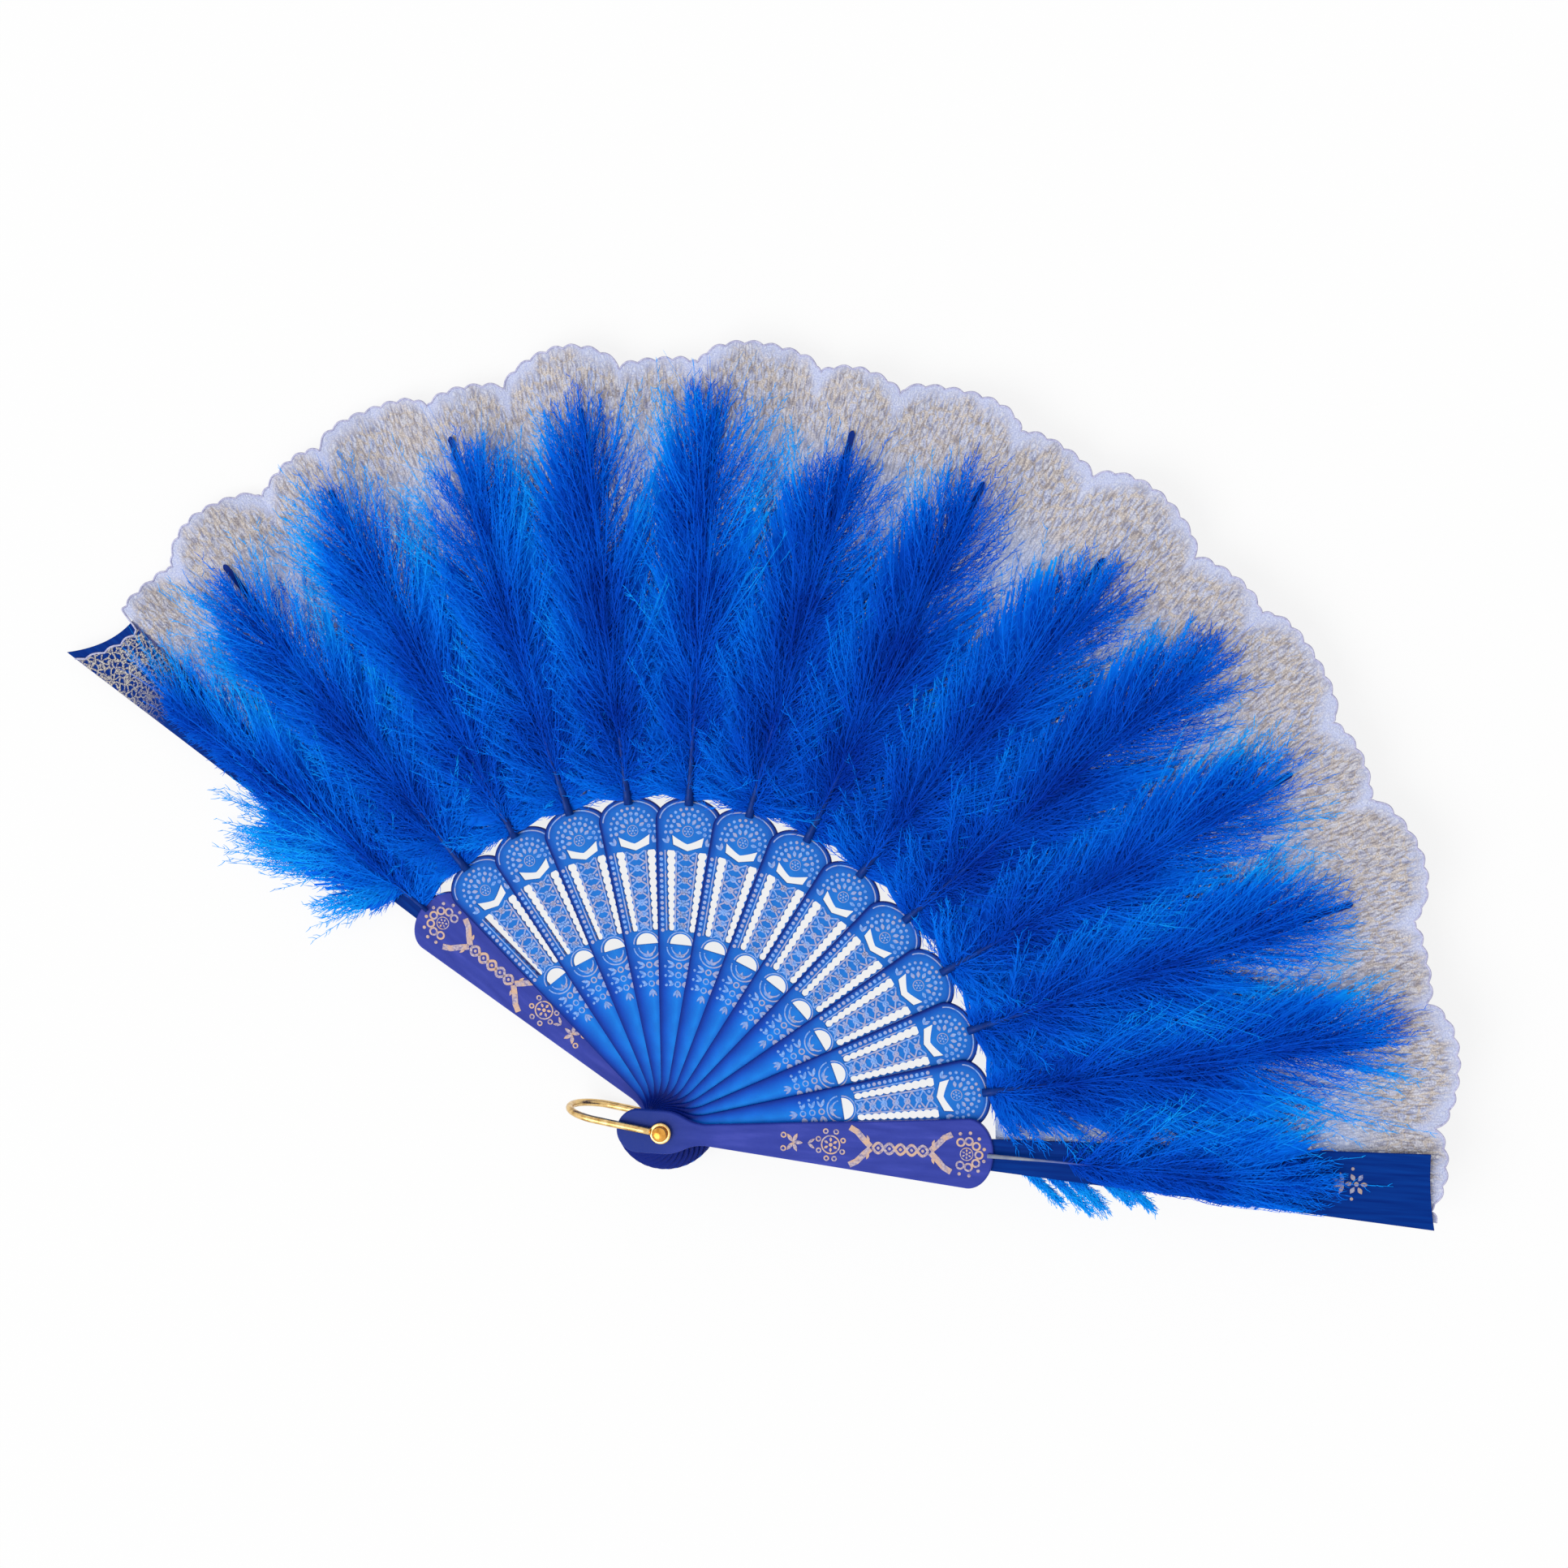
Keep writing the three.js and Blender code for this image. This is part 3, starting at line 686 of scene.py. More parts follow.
def plate(build, outline, holes, base, thickness, edge, steps=2):
    """A flat plate with rounded edges round its outline and its holes."""
    turns = [k / steps * math.pi / 2 for k in range(steps + 1)]
    profile = [(edge * (1 - math.sin(a)), edge * (1 - math.cos(a))) for a in turns]
    profile += [(inset, thickness - height) for inset, height in reversed(profile)]
    caps = ([], [])
    points, faces = [], []
    for k, loop in enumerate([outline, *holes]):
        loop = list(loop) if signed_area(loop) > 0 else list(reversed(loop))
        count = len(loop)
        start = len(points)
        for inset, height in profile:
            points += [(x, y, base + height) for x, y in shrunk(loop, inset if k == 0 else -inset)]
        walls = bands(len(profile), count, start)
        faces += walls if k == 0 else [face[::-1] for face in walls]
        for cap, first in zip(caps, (start, len(points) - count)):
            cap.append(range(first, first + count))
    for up, loops in zip((False, True), caps):
        order = [v for loop in loops for v in loop]
        for triangle in tessellate_polygon([[Vector(points[v]) for v in loop] for loop in loops]):
            corner = [order[t] for t in triangle]
            if (signed_area([points[v][:2] for v in corner]) > 0) != up:
                corner.reverse()
            faces.append(tuple(corner))
    build.add(points, faces)


def tube(build, route, radii, sides):
    """A round tube along a list of points, with a radius at each, closed at its ends."""
    route = np.asarray(route, float)
    radii = np.broadcast_to(np.asarray(radii, float), len(route))
    along = unit(np.gradient(route, axis=0))
    side = unit(np.cross(along, ACROSS_TUBES))
    other = np.cross(along, side)
    turn = np.linspace(0, FULL_TURN, sides, endpoint=False)
    ring = side[:, None] * np.cos(turn)[None, :, None] + other[:, None] * np.sin(turn)[None, :, None]
    points = (route[:, None] + ring * radii[:, None, None]).reshape(-1, 3)
    last = len(points) - sides
    ends = [tuple(reversed(range(sides))), tuple(range(last, last + sides))]
    build.add(points, bands(len(route), sides) + ends)


def turned(build, profile, sides=40):
    """A solid turned about Z from (radius, height) points that start and end on the axis."""
    turn = np.linspace(0, FULL_TURN, sides, endpoint=False)
    points, rings = [], []
    for radius, height in profile:
        angles = turn if radius else [0.0]
        rings.append(list(range(len(points), len(points) + len(angles))))
        points += [(radius * math.cos(a), radius * math.sin(a), height) for a in angles]
    faces = []
    for lower, upper in zip(rings, rings[1:]):
        for v in range(sides):
            w = (v + 1) % sides
            corner = [ring[k % len(ring)] for ring, k in ((lower, v), (lower, w), (upper, w), (upper, v))]
            faces.append(tuple(dict.fromkeys(corner)))
    build.add(points, faces)


# Flat outlines

def arc(x, y, radius, start, end, count, squeeze=1.0):
    turn = np.linspace(math.radians(start), math.radians(end), count)
    return [(x + radius * math.cos(a), y + radius * squeeze * math.sin(a)) for a in turn]


def circle(x, y, radius, count=20):
    return arc(x, y, radius, 0, 360 - 360 / count, count)


def petal(x, y, angle, length, width):
    """A pointed leaf shape that starts at (x, y)."""
    a = math.radians(angle)
    along = np.array((math.cos(a), math.sin(a)))
    across = np.array((-along[1], along[0]))
    share = np.linspace(0, 1, 9)[:, None]
    middle = np.array((x, y)) + along * length * share
    bulge = across * np.sin(share * math.pi) * width / 2
    return [tuple(p) for p in np.concatenate([middle - bulge, (middle + bulge)[-2:0:-1]])]


def stroke(points, width):
    """The outline of a line of some width."""
    xy = np.asarray(points, float)
    across = square(unit(np.gradient(xy, axis=0))) * width / 2
    return [tuple(p) for p in np.concatenate([xy - across, (xy + across)[::-1]])]


def blade_half(distance, head_width):
    share = (distance - NECK_RADIUS) / (SHOULDER - NECK_RADIUS)
    return (NECK_WIDTH + (head_width - NECK_WIDTH) * share) / 2


def bezier(a, b, c, d, count):
    t = np.linspace(0, 1, count)[:, None]
    a, b, c, d = (np.asarray(p, float) for p in (a, b, c, d))
    curve = (1 - t) ** 3 * a + 3 * (1 - t) ** 2 * t * b + 3 * (1 - t) * t ** 2 * c + t ** 3 * d
    return [tuple(p) for p in curve]


def mirrored(points):
    return [(-x, y) for x, y in reversed(points)]


def blade_outline(head_width):
    """Rounded tail round the rivet, flared neck, straight flanks that widen, domed head."""
    neck, flare = NECK_WIDTH / 2, NECK_RADIUS / 2
    right = [(blade_half(y, head_width), y) for y in np.linspace(NECK_RADIUS, SHOULDER, 12)[1:-1]]
    head = arc(0, SHOULDER, head_width / 2, 0, 180, 33, (HEAD_TOP - SHOULDER) / (head_width / 2))
    down_left = bezier((-neck, NECK_RADIUS), (-neck, flare), (-TAIL_RADIUS, flare), (-TAIL_RADIUS, 0), 14)
    tail = arc(0, TAIL_RADIUS - TAIL_REACH, TAIL_RADIUS, 180, 360, 25)
    return right + head + mirrored(right) + down_left + tail + mirrored(down_left)


def rib_outline():
    share = np.linspace(-1, 1, 9)
    end = [(-s * RIB_WIDTHS[1] / 2, RIB_TIP + RIB_CROWN * (1 - s * s)) for s in share]
    return [(-RIB_WIDTHS[0] / 2, RIB_START), (RIB_WIDTHS[0] / 2, RIB_START), *end]


def slat_outline(outer_side, tip, slant, hollow):
    """A guard's slat, leaning to its outer side (-1 or 1) and hollowed at its end."""
    middle, side = outer_side * SLAT_LEAN, outer_side * SLAT_WIDTHS[1] / 2
    share = np.linspace(1, -1, 17)
    end = [(middle + s * side, tip + s * slant / 2 - hollow * (1 - s * s)) for s in share]
    start = outer_side * SLAT_WIDTHS[0] / 2
    return [(start, SLAT_START), *end, (-start, SLAT_START)]


def slat_outer(radius):
    """How far a slat's outer edge lies from the guard's centre line."""
    run = np.clip((radius - SLAT_START) / (SLAT_TIP - SLAT_START), 0, 1)
    return SLAT_WIDTHS[0] / 2 + (SLAT_WIDTHS[1] / 2 + SLAT_LEAN - SLAT_WIDTHS[0] / 2) * run


def slot_edges(y):
    """How far a slot's outer and inner edges lie from the stick's centre line."""
    share = (y - SLOT_START) / (SLOT_END - SLOT_START)
    outer = blade_half(y, STICK_HEAD_WIDTH) - SLOT_FRAME
    return outer, outer - (SLOT_WIDTHS[0] + (SLOT_WIDTHS[1] - SLOT_WIDTHS[0]) * share)


def slot_outline(side):
    """A long slot beside the stick's centre bar, scalloped along both edges."""
    share = np.linspace(0, 1, SLOT_SCALLOPS * SCALLOP_POINTS + 1)
    wave = SCALLOP_DEPTH * np.abs(np.sin(share * SLOT_SCALLOPS * math.pi))
    y = SLOT_START + (SLOT_END - SLOT_START) * share
    outer, inner = slot_edges(y)
    there = list(zip(side * (outer - SCALLOP_DEPTH + wave), y))
    back = list(zip(side * (inner + SCALLOP_DEPTH - wave), y))
    return there + back[::-1]


def chevron_outline():
    """The winged opening under the head: notched along its top, bluntly pointed below."""
    rise = CHEVRON_TIP - CHEVRON_NOTCH
    share = np.linspace(-1, 1, 11)
    top = [(s * CHEVRON_SIDE, CHEVRON_NOTCH + rise * abs(s) ** CHEVRON_CURVE) for s in share]
    corner = CHEVRON_LOWER * CHEVRON_SIDE
    return top + [(corner, CHEVRON_CORNER), (0, CHEVRON_POINT), (-corner, CHEVRON_CORNER)]


# Ornament. A shape is a list of one loop, or of a loop and its hole.

def ring(x, y, outer, inner):
    return [circle(x, y, outer, 24), circle(x, y, inner, 24)]


def beads(places, radius, count=8):
    return [[circle(x, y, radius, count)] for x, y in places]


def petals(places, length, width):
    return [[petal(*place, length, width)] for place in places]


def around(x, y, radius, turns):
    """Places round a centre, each with its direction in degrees."""
    return [(*arc(x, y, radius, turn, turn, 1)[0], turn) for turn in turns]


def rosette(y, size):
    rim, eye, start, length, width = (share * size for share in ROSETTE)
    shapes = [ring(0, y, size, rim), *beads([(0, y)], eye, 12)]
    return shapes + petals(around(0, y, start, range(0, 360, 60)), length, width)


def head_shapes():
    """A rosette on a stick's head, under rows of petals and beads and a line along the border."""
    centre = 88.4
    shapes = rosette(centre, size=1.7)
    shapes += petals(around(0, centre, 2.3, range(0, 181, 30)), length=2.0, width=1.1)
    for radius, count, bead in ((5.1, 11, 0.62), (6.7, 14, 0.5)):
        shapes += beads(arc(0, centre, radius, -BEAD_ARC, 180 + BEAD_ARC, count), bead)
    border = STICK_HEAD_WIDTH / 2 - 1.3
    rise = HEAD_TOP - SHOULDER - 1.2
    shapes.append([stroke(arc(0, SHOULDER, border, 4, 176, 29, rise / border), width=0.4)])
    for side in SIDES:
        shapes += petals([(side * 5.6, 84.4, 90 - side * lean) for lean in (10, 60)], length=2.4, width=1.0)
    return shapes


def slot_shapes():
    """Beads and a lip along the outer edge of each slot."""
    shapes = []
    for side in SIDES:
        row = np.arange(SLOT_START, SLOT_END, BEAD_PITCH)
        places = [(side * (slot_edges(y)[0] + SLOT_FRAME / 2), y) for y in row]
        shapes += beads(places, radius=0.58, count=10)
        lip = [(side * (slot_edges(y)[0] + 0.35), y) for y in (SLOT_START, SLOT_END)]
        shapes.append([stroke(lip, width=0.4)])
    return shapes


def bar_half(y):
    """Half the width that ornament may take on the bar between the two slots."""
    return slot_edges(y)[1] - BAR_MARGIN


def bar_shapes():
    """A lattice with rings and beads on the bar between the two slots, and a line along each edge."""
    shapes = []
    pitch = (SLOT_END - SLOT_START) / LATTICE_CELLS
    for k in range(LATTICE_CELLS):
        y = SLOT_START + k * pitch
        middle, top = y + pitch / 2, y + pitch
        for side in reversed(SIDES):
            diagonal = [(-side * bar_half(y), y), (0, middle), (side * bar_half(top), top)]
            shapes.append([stroke(diagonal, width=0.5)])
        shapes.append(ring(0, middle, outer=1.0, inner=0.45))
        shapes += beads([(side * (bar_half(y) - 0.6), middle) for side in SIDES], radius=0.5)
    for side in SIDES:
        edge = [(side * (bar_half(y) + 0.25), y) for y in np.linspace(SLOT_START, SLOT_END, 6)]
        shapes.append([stroke(edge, width=0.5)])
    return shapes


def moon_shapes():
    """Arcs round the half-moon, and rings with leaves below it."""
    shapes = [[stroke(arc(0, MOON_BASE - 0.5, radius, 186, 354, 21), width=0.45)] for radius in (4.0, 2.6)]
    shapes.append([stroke(arc(0, MOON_BASE, 3.9, 4, 176, 21), width=0.4)])
    shapes += petals([(0, 50.6, turn) for turn in (30, 90, 150)], length=2.0, width=0.8)
    for y, reach in ((48.2, 4.4), (45.4, 4.1), (42.6, 3.7)):
        shapes.append(ring(0, y, outer=1.0, inner=0.55))
        for side in SIDES:
            shapes += petals([(side * 1.2, y, 90 - side * 62)], length=reach - 1.6, width=1.0)
            shapes += petals([(side * 1.2, y, 90 - side * 112)], length=reach - 2.0, width=0.8)
            shapes += beads([(side * (reach - 0.3), y - 0.5)], radius=0.45)
    return shapes + petals([(0, 41.0, 270 + lean) for lean in (-28, 0, 28)], length=2.6, width=0.8)


def guard_shapes():
    """Scroll, forked leaves, braid and rosettes along a guard."""
    shapes = petals([(0, 39.4, turn) for turn in (25, 90, 155, 215, 325)], length=3.0, width=1.2)
    shapes += [ring(side * 2.0, 36.6, outer=0.9, inner=0.45) for side in SIDES]
    shapes += petals([(0, 43.8, turn) for turn in (55, 125)], length=2.6, width=0.9)
    lower, upper = 50.6, 90.6
    shapes += rosette(lower, size=2.9)
    crown = arc(0, lower, 4.3, math.degrees(0.3), math.degrees(5.98), 8, 3.9 / 4.3)
    shapes += [ring(x, y, outer=0.85, inner=0.4) for x, y in crown]
    for y, way in ((62.4, -1), (80.0, 1)):
        for side in SIDES:
            arm = [(side * x, y + way * rise) for x, rise in ((0.3, 0), (2.2, 2.0), (4.4, 4.0), (5.6, 6.2))]
            shapes.append([stroke(arm, width=1.8)])
            turn = 90 - side * (90 - way * 20)
            shapes += petals([(side * 1.6, y + way * 0.4, turn)], length=2.2, width=0.8)
    loops = np.linspace(0, BRAID_LOOPS, 41)
    length = (BRAID[1] - BRAID[0]) / BRAID_LOOPS
    for side in SIDES:
        wave = np.stack([side * 1.5 * np.sin(loops * math.pi), BRAID[0] + length * loops], axis=1)
        shapes.append([stroke(wave, width=0.85)])
    shapes += beads([(0, BRAID[0] + length * (k + 0.5)) for k in range(BRAID_LOOPS)], radius=0.5)
    shapes += rosette(upper, size=2.0)
    shapes += [ring(x, y, outer=1.35, inner=0.75) for x, y in arc(0, upper, 3.9, -30, 210, 7, 3.6 / 3.9)]
    return shapes + beads(arc(0, upper, 6.4, -22, 202, 8, 5.3 / 6.4), radius=0.55)


def slat_shapes():
    """A small sprig near the slat's tip: a blossom between two beads, above four leaves."""
    x, y = 1.0, 202.5
    shapes = beads([(x, y)], radius=0.7, count=12)
    shapes += petals(around(x, y, 1.0, range(30, 390, 60)), length=2.3, width=1.3)
    shapes += petals([(x, y - 3.6, turn) for turn in (200, 250, 290, 340)], length=3.4, width=1.2)
    return shapes + beads([(x + side * 4.4, y - 1.2) for side in SIDES], radius=0.5, count=10)


def ornament(name, top, shapes, material):
    """Shapes standing a little proud of a face."""
    build = Build()
    for outline, *holes in shapes:
        plate(build, outline, holes, top - SINK, RELIEF + SINK, RELIEF_EDGE, steps=1)
    return build.mesh(name, material, smooth=False)


# Sticks and guards

def stick_mesh(material):
    build = Build()
    moon = arc(0, MOON_BASE, MOON_WIDTH / 2, 0, 180, 17)
    holes = [circle(0, 0, PIN_HOLE), moon, *map(slot_outline, SIDES), chevron_outline()]
    plate(build, blade_outline(STICK_HEAD_WIDTH), holes, 0, STICK_THICKNESS, STICK_EDGE)
    plate(build, rib_outline(), [], STICK_THICKNESS - RIB_THICKNESS, RIB_THICKNESS - SINK, STICK_EDGE / 2)
    return build.mesh("stick_moulding", material, smooth=False)


def make_sticks():
    moulding = stick_mesh(blade_plastic())
    lilac = print_metal("lilac_print", (0.07, 0.20, 0.56), (0.20, 0.37, 0.74), (0.31, 0.32, 0.50))
    shapes = head_shapes() + slot_shapes() + bar_shapes() + moon_shapes()
    flowers = ornament("stick_flowers", STICK_THICKNESS, shapes, lilac)
    for i in range(1, GAPS):
        fit(i, "moulding", moulding, replaces=True)
        fit(i, "flowers", flowers)


def make_guards():
    indigo, navy = guard_plastic(), slat_plastic()
    gold = print_metal("gold_print", (0.18, 0.15, 0.28), (0.48, 0.40, 0.44), (0.54, 0.36, 0.26))
    pale = print_metal("pale_print", (0.08, 0.12, 0.34), (0.34, 0.34, 0.44), (0.38, 0.28, 0.24))
    build = Build()
    plate(build, blade_outline(GUARD_HEAD_WIDTH), [circle(0, 0, PIN_HOLE)], 0, GUARD_THICKNESS, GUARD_EDGE, 4)
    blade = build.mesh("guard_blade", indigo, smooth=False)
    flowers = ornament("guard_flowers", GUARD_THICKNESS, guard_shapes(), gold)
    outlines = {0: slat_outline(-1, SLAT_TIP + REAR_EXTRA, REAR_SLANT, REAR_HOLLOW),
                GAPS: slat_outline(1, SLAT_TIP, FRONT_SLANT, FRONT_HOLLOW)}
    for i, outline in outlines.items():
        fit(i, "blade", blade, replaces=True)
        slat = Build()
        plate(slat, outline, [], SINK, SLAT_THICKNESS - SINK, STICK_EDGE)
        fit(i, "slat", slat.mesh(f"{CARRIERS[i]}_slat", navy, smooth=False), replaces=True)
        fit(i, "flowers", flowers)
    fit(GAPS, "scroll", ornament("slat_scroll", SLAT_THICKNESS, slat_shapes(), pale))


# Rivet and bail

def make_rivet(metal):
    head, pin = high("pivot_rivet"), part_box("pivot_rivet")[1][0] / MM
    shaft = PIN_HOLE - SHAFT_CLEARANCE
    rivet = Build()
    turned(rivet, [(0, 0), (pin - 0.4, 0), (pin - 0.1, 0.1), (pin, 0.4), (pin, 0.9), (pin - 0.2, RIVET_HEAD),
                   (shaft, RIVET_HEAD), (shaft, low("rear_guard")), (shaft, head), (0, head)])
    put("rivet_pin", rivet.mesh("rivet_pin", metal), "rear", None, ["pivot_rivet"])


def make_cap(metal):
    base = low("rivet_cap")
    rise = high("rivet_cap") - base - CAP_RIM
    bore = PIN_HOLE - SHAFT_CLEARANCE + 0.1
    dome = [(0, CAP_HOLLOW), (bore, CAP_HOLLOW), (bore, 0.0), (CAP_RADIUS - 0.2, 0.0), (CAP_RADIUS, 0.2)]
    for a in [k / CAP_STEPS * math.pi / 2 for k in range(CAP_STEPS)]:
        dome.append((CAP_RADIUS * math.cos(a), CAP_RIM + rise * math.sin(a)))
    dome.append((0, CAP_RIM + rise))
    cap = Build()
    turned(cap, [(radius, base + height) for radius, height in dome])
    put("rivet_dome", cap.mesh("rivet_dome", metal), "rear", None, ["rivet_cap"])


def make_bail(metal):
    rear_leg = low("rear_guard") - BAIL_CLEARANCE - BAIL_WIRE
    front_leg = high("front_guard") + BAIL_CLEARANCE + BAIL_WIRE
    middle, bow = (rear_leg + front_leg) / 2, (front_leg - rear_leg) / 2
    bow_start = BAIL_REACH - BAIL_WIRE - bow
    legs = np.linspace(LEG_START, bow_start, 8)[:-1]
    route = [(x, 0, rear_leg) for x in legs]
    route += [(x, 0, z) for x, z in arc(bow_start, middle, bow, -90, 90, 40)]
    route += [(x, 0, front_leg) for x in legs[::-1]]
    build = Build()
    tube(build, route, BAIL_WIRE, 16)
    for base in (rear_leg + BAIL_WIRE - EYE_THICKNESS, front_leg - BAIL_WIRE):
        eye, hole = circle(0, 0, EYE_RADIUS, 40), circle(0, 0, PIN_HOLE, 28)
        plate(build, eye, [hole], base, EYE_THICKNESS, EYE_EDGE, 4)
    turn = Matrix.Rotation(BAIL_ANGLE, 4, "Z")
    put("bail_wire", build.mesh("bail_wire", metal), "bail", turn, ["bail"])


def make_fittings():
    metal = brass("brass", (0.45, 0.26, 0.08), (0.82, 0.57, 0.25))
    amber = brass("amber_brass", (0.50, 0.20, 0.03), (0.82, 0.40, 0.08))
    make_rivet(metal)
    make_cap(amber)
    make_bail(metal)


# Lace leaf. A place counts gaps from the rear guard.

def lobes(place):
    """How far the rim's lobes stand out, and that as a share of each lobe's crest."""
    pair = (place * STEP - FIRST_LOBE) / LOBE_PAIR
    share = pair - np.floor(pair)
    large = share < LARGE_SHARE
    across = np.where(large, share / LARGE_SHARE, (share - LARGE_SHARE) / (1 - LARGE_SHARE))
    crest = np.sqrt(np.maximum(0, 1 - (2 * across - 1) ** 2))
    return np.where(large, *LOBE_HEIGHTS) * crest, crest


def on_rear_slat(place):
    """1 over the rear guard's slat and 0 past it."""
    return np.clip((SLAT_LAP - LAP_EDGE - place) / LAP_FADE, 0, 1)


def rim_radius(place):
    """Radius of the scalloped rim."""
    angle = place * STEP
    from_swell = np.minimum(1, np.abs(angle - SWELL_ANGLE) / SWELL_REACH)
    swell = LEAF_SWELL * (1 + np.cos(math.pi * from_swell)) / 2
    picot = np.abs(np.sin(angle * LEAF_VALLEY / PICOT_PITCH * math.pi)) * PICOT_HEIGHT
    waver = sum(height * np.sin(angle * waves + waves) for height, waves in RIM_WAVER)
    rim = LEAF_VALLEY + swell + lobes(place)[0] + waver
    across = np.clip((-angle * SLAT_TIP - SLAT_LEAN) / (SLAT_WIDTHS[1] / 2), -1, 1)
    slat_end = SLAT_TIP + REAR_EXTRA + across * REAR_SLANT / 2 - REAR_HOLLOW * (1 - across ** 2)
    return rim + (slat_end - SLAT_END_SHOWN - rim) * on_rear_slat(place) + picot


def leaf_height(place, radius):
    """Height of the pleated leaf: a crest under each rib and a valley midway between two."""
    inside = np.clip(place, 0, GAPS)
    gap = np.minimum(np.floor(inside).astype(int), GAPS - 1)
    share = inside - gap
    levels = np.asarray(LEAF_LEVELS)
    flat = levels[gap] + (levels[gap + 1] - levels[gap]) * share
    start = np.where(gap == 0, SLAT_LAP, 0.0)
    rise = np.clip((share - start) / (0.5 - start), 0, 1)
    valley = np.where(share < 0.5, rise, 2 * (1 - share))
    crest = np.where((gap == 0) & (share < SLAT_LAP), levels[0], flat)
    deepening = np.clip((radius - LEAF_INNER) / PLEAT_RUN, 0, 1)
    return crest - (PLEAT_INNER + (PLEAT_OUTER - PLEAT_INNER) * deepening) * valley ** PLEAT_CURVE


def on_leaf(place, radius):
    """Points of the leaf at some places and radii."""
    angle = SPREAD / 2 - place * STEP
    return np.stack([-radius * np.sin(angle), radius * np.cos(angle), leaf_height(place, radius)], axis=-1)


def point_layer(mesh, name, values):
    layer = mesh.attributes.new(name, "FLOAT", "POINT")
    layer.data.foreach_set("value", values.ravel().astype(np.float32))


def lace_mesh(name, material, place, rim, grid, radius):
    """A grid of lace with the layers that its material reads. place and rim are those of its outer row."""
    wide = len(place)
    faces = [(r * wide + c + 1, r * wide + c, (r + 1) * wide + c, (r + 1) * wide + c + 1)
             for r in range(LEAF_ROWS) for c in range(wide - 1)]
    build = Build()
    build.add(on_leaf(grid, radius).reshape(-1, 3), faces)
    mesh = build.mesh(name, material)
    slat = on_rear_slat(grid)
    shell = BAND_SPREAD * (1 - lobes(place)[1])
    point_layer(mesh, "rim", (rim - shell - radius + PAST_BAND * slat) * MM)
    point_layer(mesh, "slat", slat)
    flat = np.stack([grid * STEP * LEAF_SCALE_RADIUS, radius], axis=-1).reshape(-1, 2)
    corner = np.empty(len(mesh.loops), np.int32)
    mesh.loops.foreach_get("vertex_index", corner)
    mesh.uv_layers.new(name="flat").data.foreach_set("uv", flat[corner].ravel().astype(np.float32))
    return mesh


def leaf_section(i, material, thread):
    """The leaf from the valley before stick i to the valley after it, and the hem along its rim."""
    first = i - (SLAT_LAP if i == 0 else 0.5)
    last = i + (SLAT_LAP if i == GAPS else 0.5)
    run = np.linspace(0, 1, int(LEAF_COLUMNS * (last - first)) + 1)

    def across(radius):
        """Places across the section: over the rear slat it runs on to the slat's outer edge."""
        start = -(slat_outer(radius) - LAP_MARGIN) / radius / STEP if i == 0 else first
        return start + (last - start) * run

    place = across(LEAF_VALLEY)
    rim = rim_radius(place)
    share = np.linspace(0, 1, LEAF_ROWS + 1)[:, None]
    radius = LEAF_INNER + (rim - LEAF_INNER)[None, :] * share
    grid = np.broadcast_to(across(radius), radius.shape)
    mesh = lace_mesh(f"leaf_section_{i + 1:02d}", material, place, rim, grid, radius)
    section = put(mesh.name, mesh, BODIES[i], None, [f"leaf_panel_{i + 1:02d}"] if i < GAPS else [])
    hem = Build()
    tube(hem, on_leaf(place, rim), HEM_RADIUS, 6)
    hem_piece = put(f"leaf_hem_{i + 1:02d}", hem.mesh(f"leaf_hem_{i + 1:02d}", thread), BODIES[i])
    for piece in (section, hem_piece):
        flatten(piece)


def make_leaf():
    material, thread = lace(), hem_thread()
    for i in range(GAPS + 1):
        leaf_section(i, material, thread)


# Feathers

def surface(x, y):
    """Height of what a feather lies on: leaf, ribs and slats, or clear of the table beside them."""
    radius = np.hypot(x, y)
    place = (SPREAD / 2 - np.arctan2(-x, y)) / STEP
    nearest = np.clip(np.round(place), 0, GAPS).astype(int)
    off = np.abs(radius * np.sin((place - nearest) * STEP))
    half = np.where((nearest == 0) | (nearest == GAPS), slat_outer(radius), RIB_WIDTHS[0] / 2)
    beside = (place < 0) | (place > GAPS)
    open_part = np.where(beside, BESIDE_FAN, leaf_height(place, radius))
    return np.where(off < half + RIB_MARGIN, np.asarray(RIB_TOPS)[nearest], open_part)


def shares(strands):
    """Shares along each of some strands at which it has a point."""
    return np.broadcast_to(np.linspace(0, 1, BARB_POINTS), (strands, BARB_POINTS))


def strand_curve(base, angle, rise, length, bend):
    """A function of the shares t along strands that leave base at the given angle and rise."""
    out = np.stack([np.sin(angle) * np.cos(rise), np.cos(angle) * np.cos(rise), np.sin(rise)], axis=1)

    def curve(t):
        t = t[..., None]
        return base[:, None] + length[:, None, None] * (t * out[:, None] + t ** 2 * bend[:, None])
    return curve


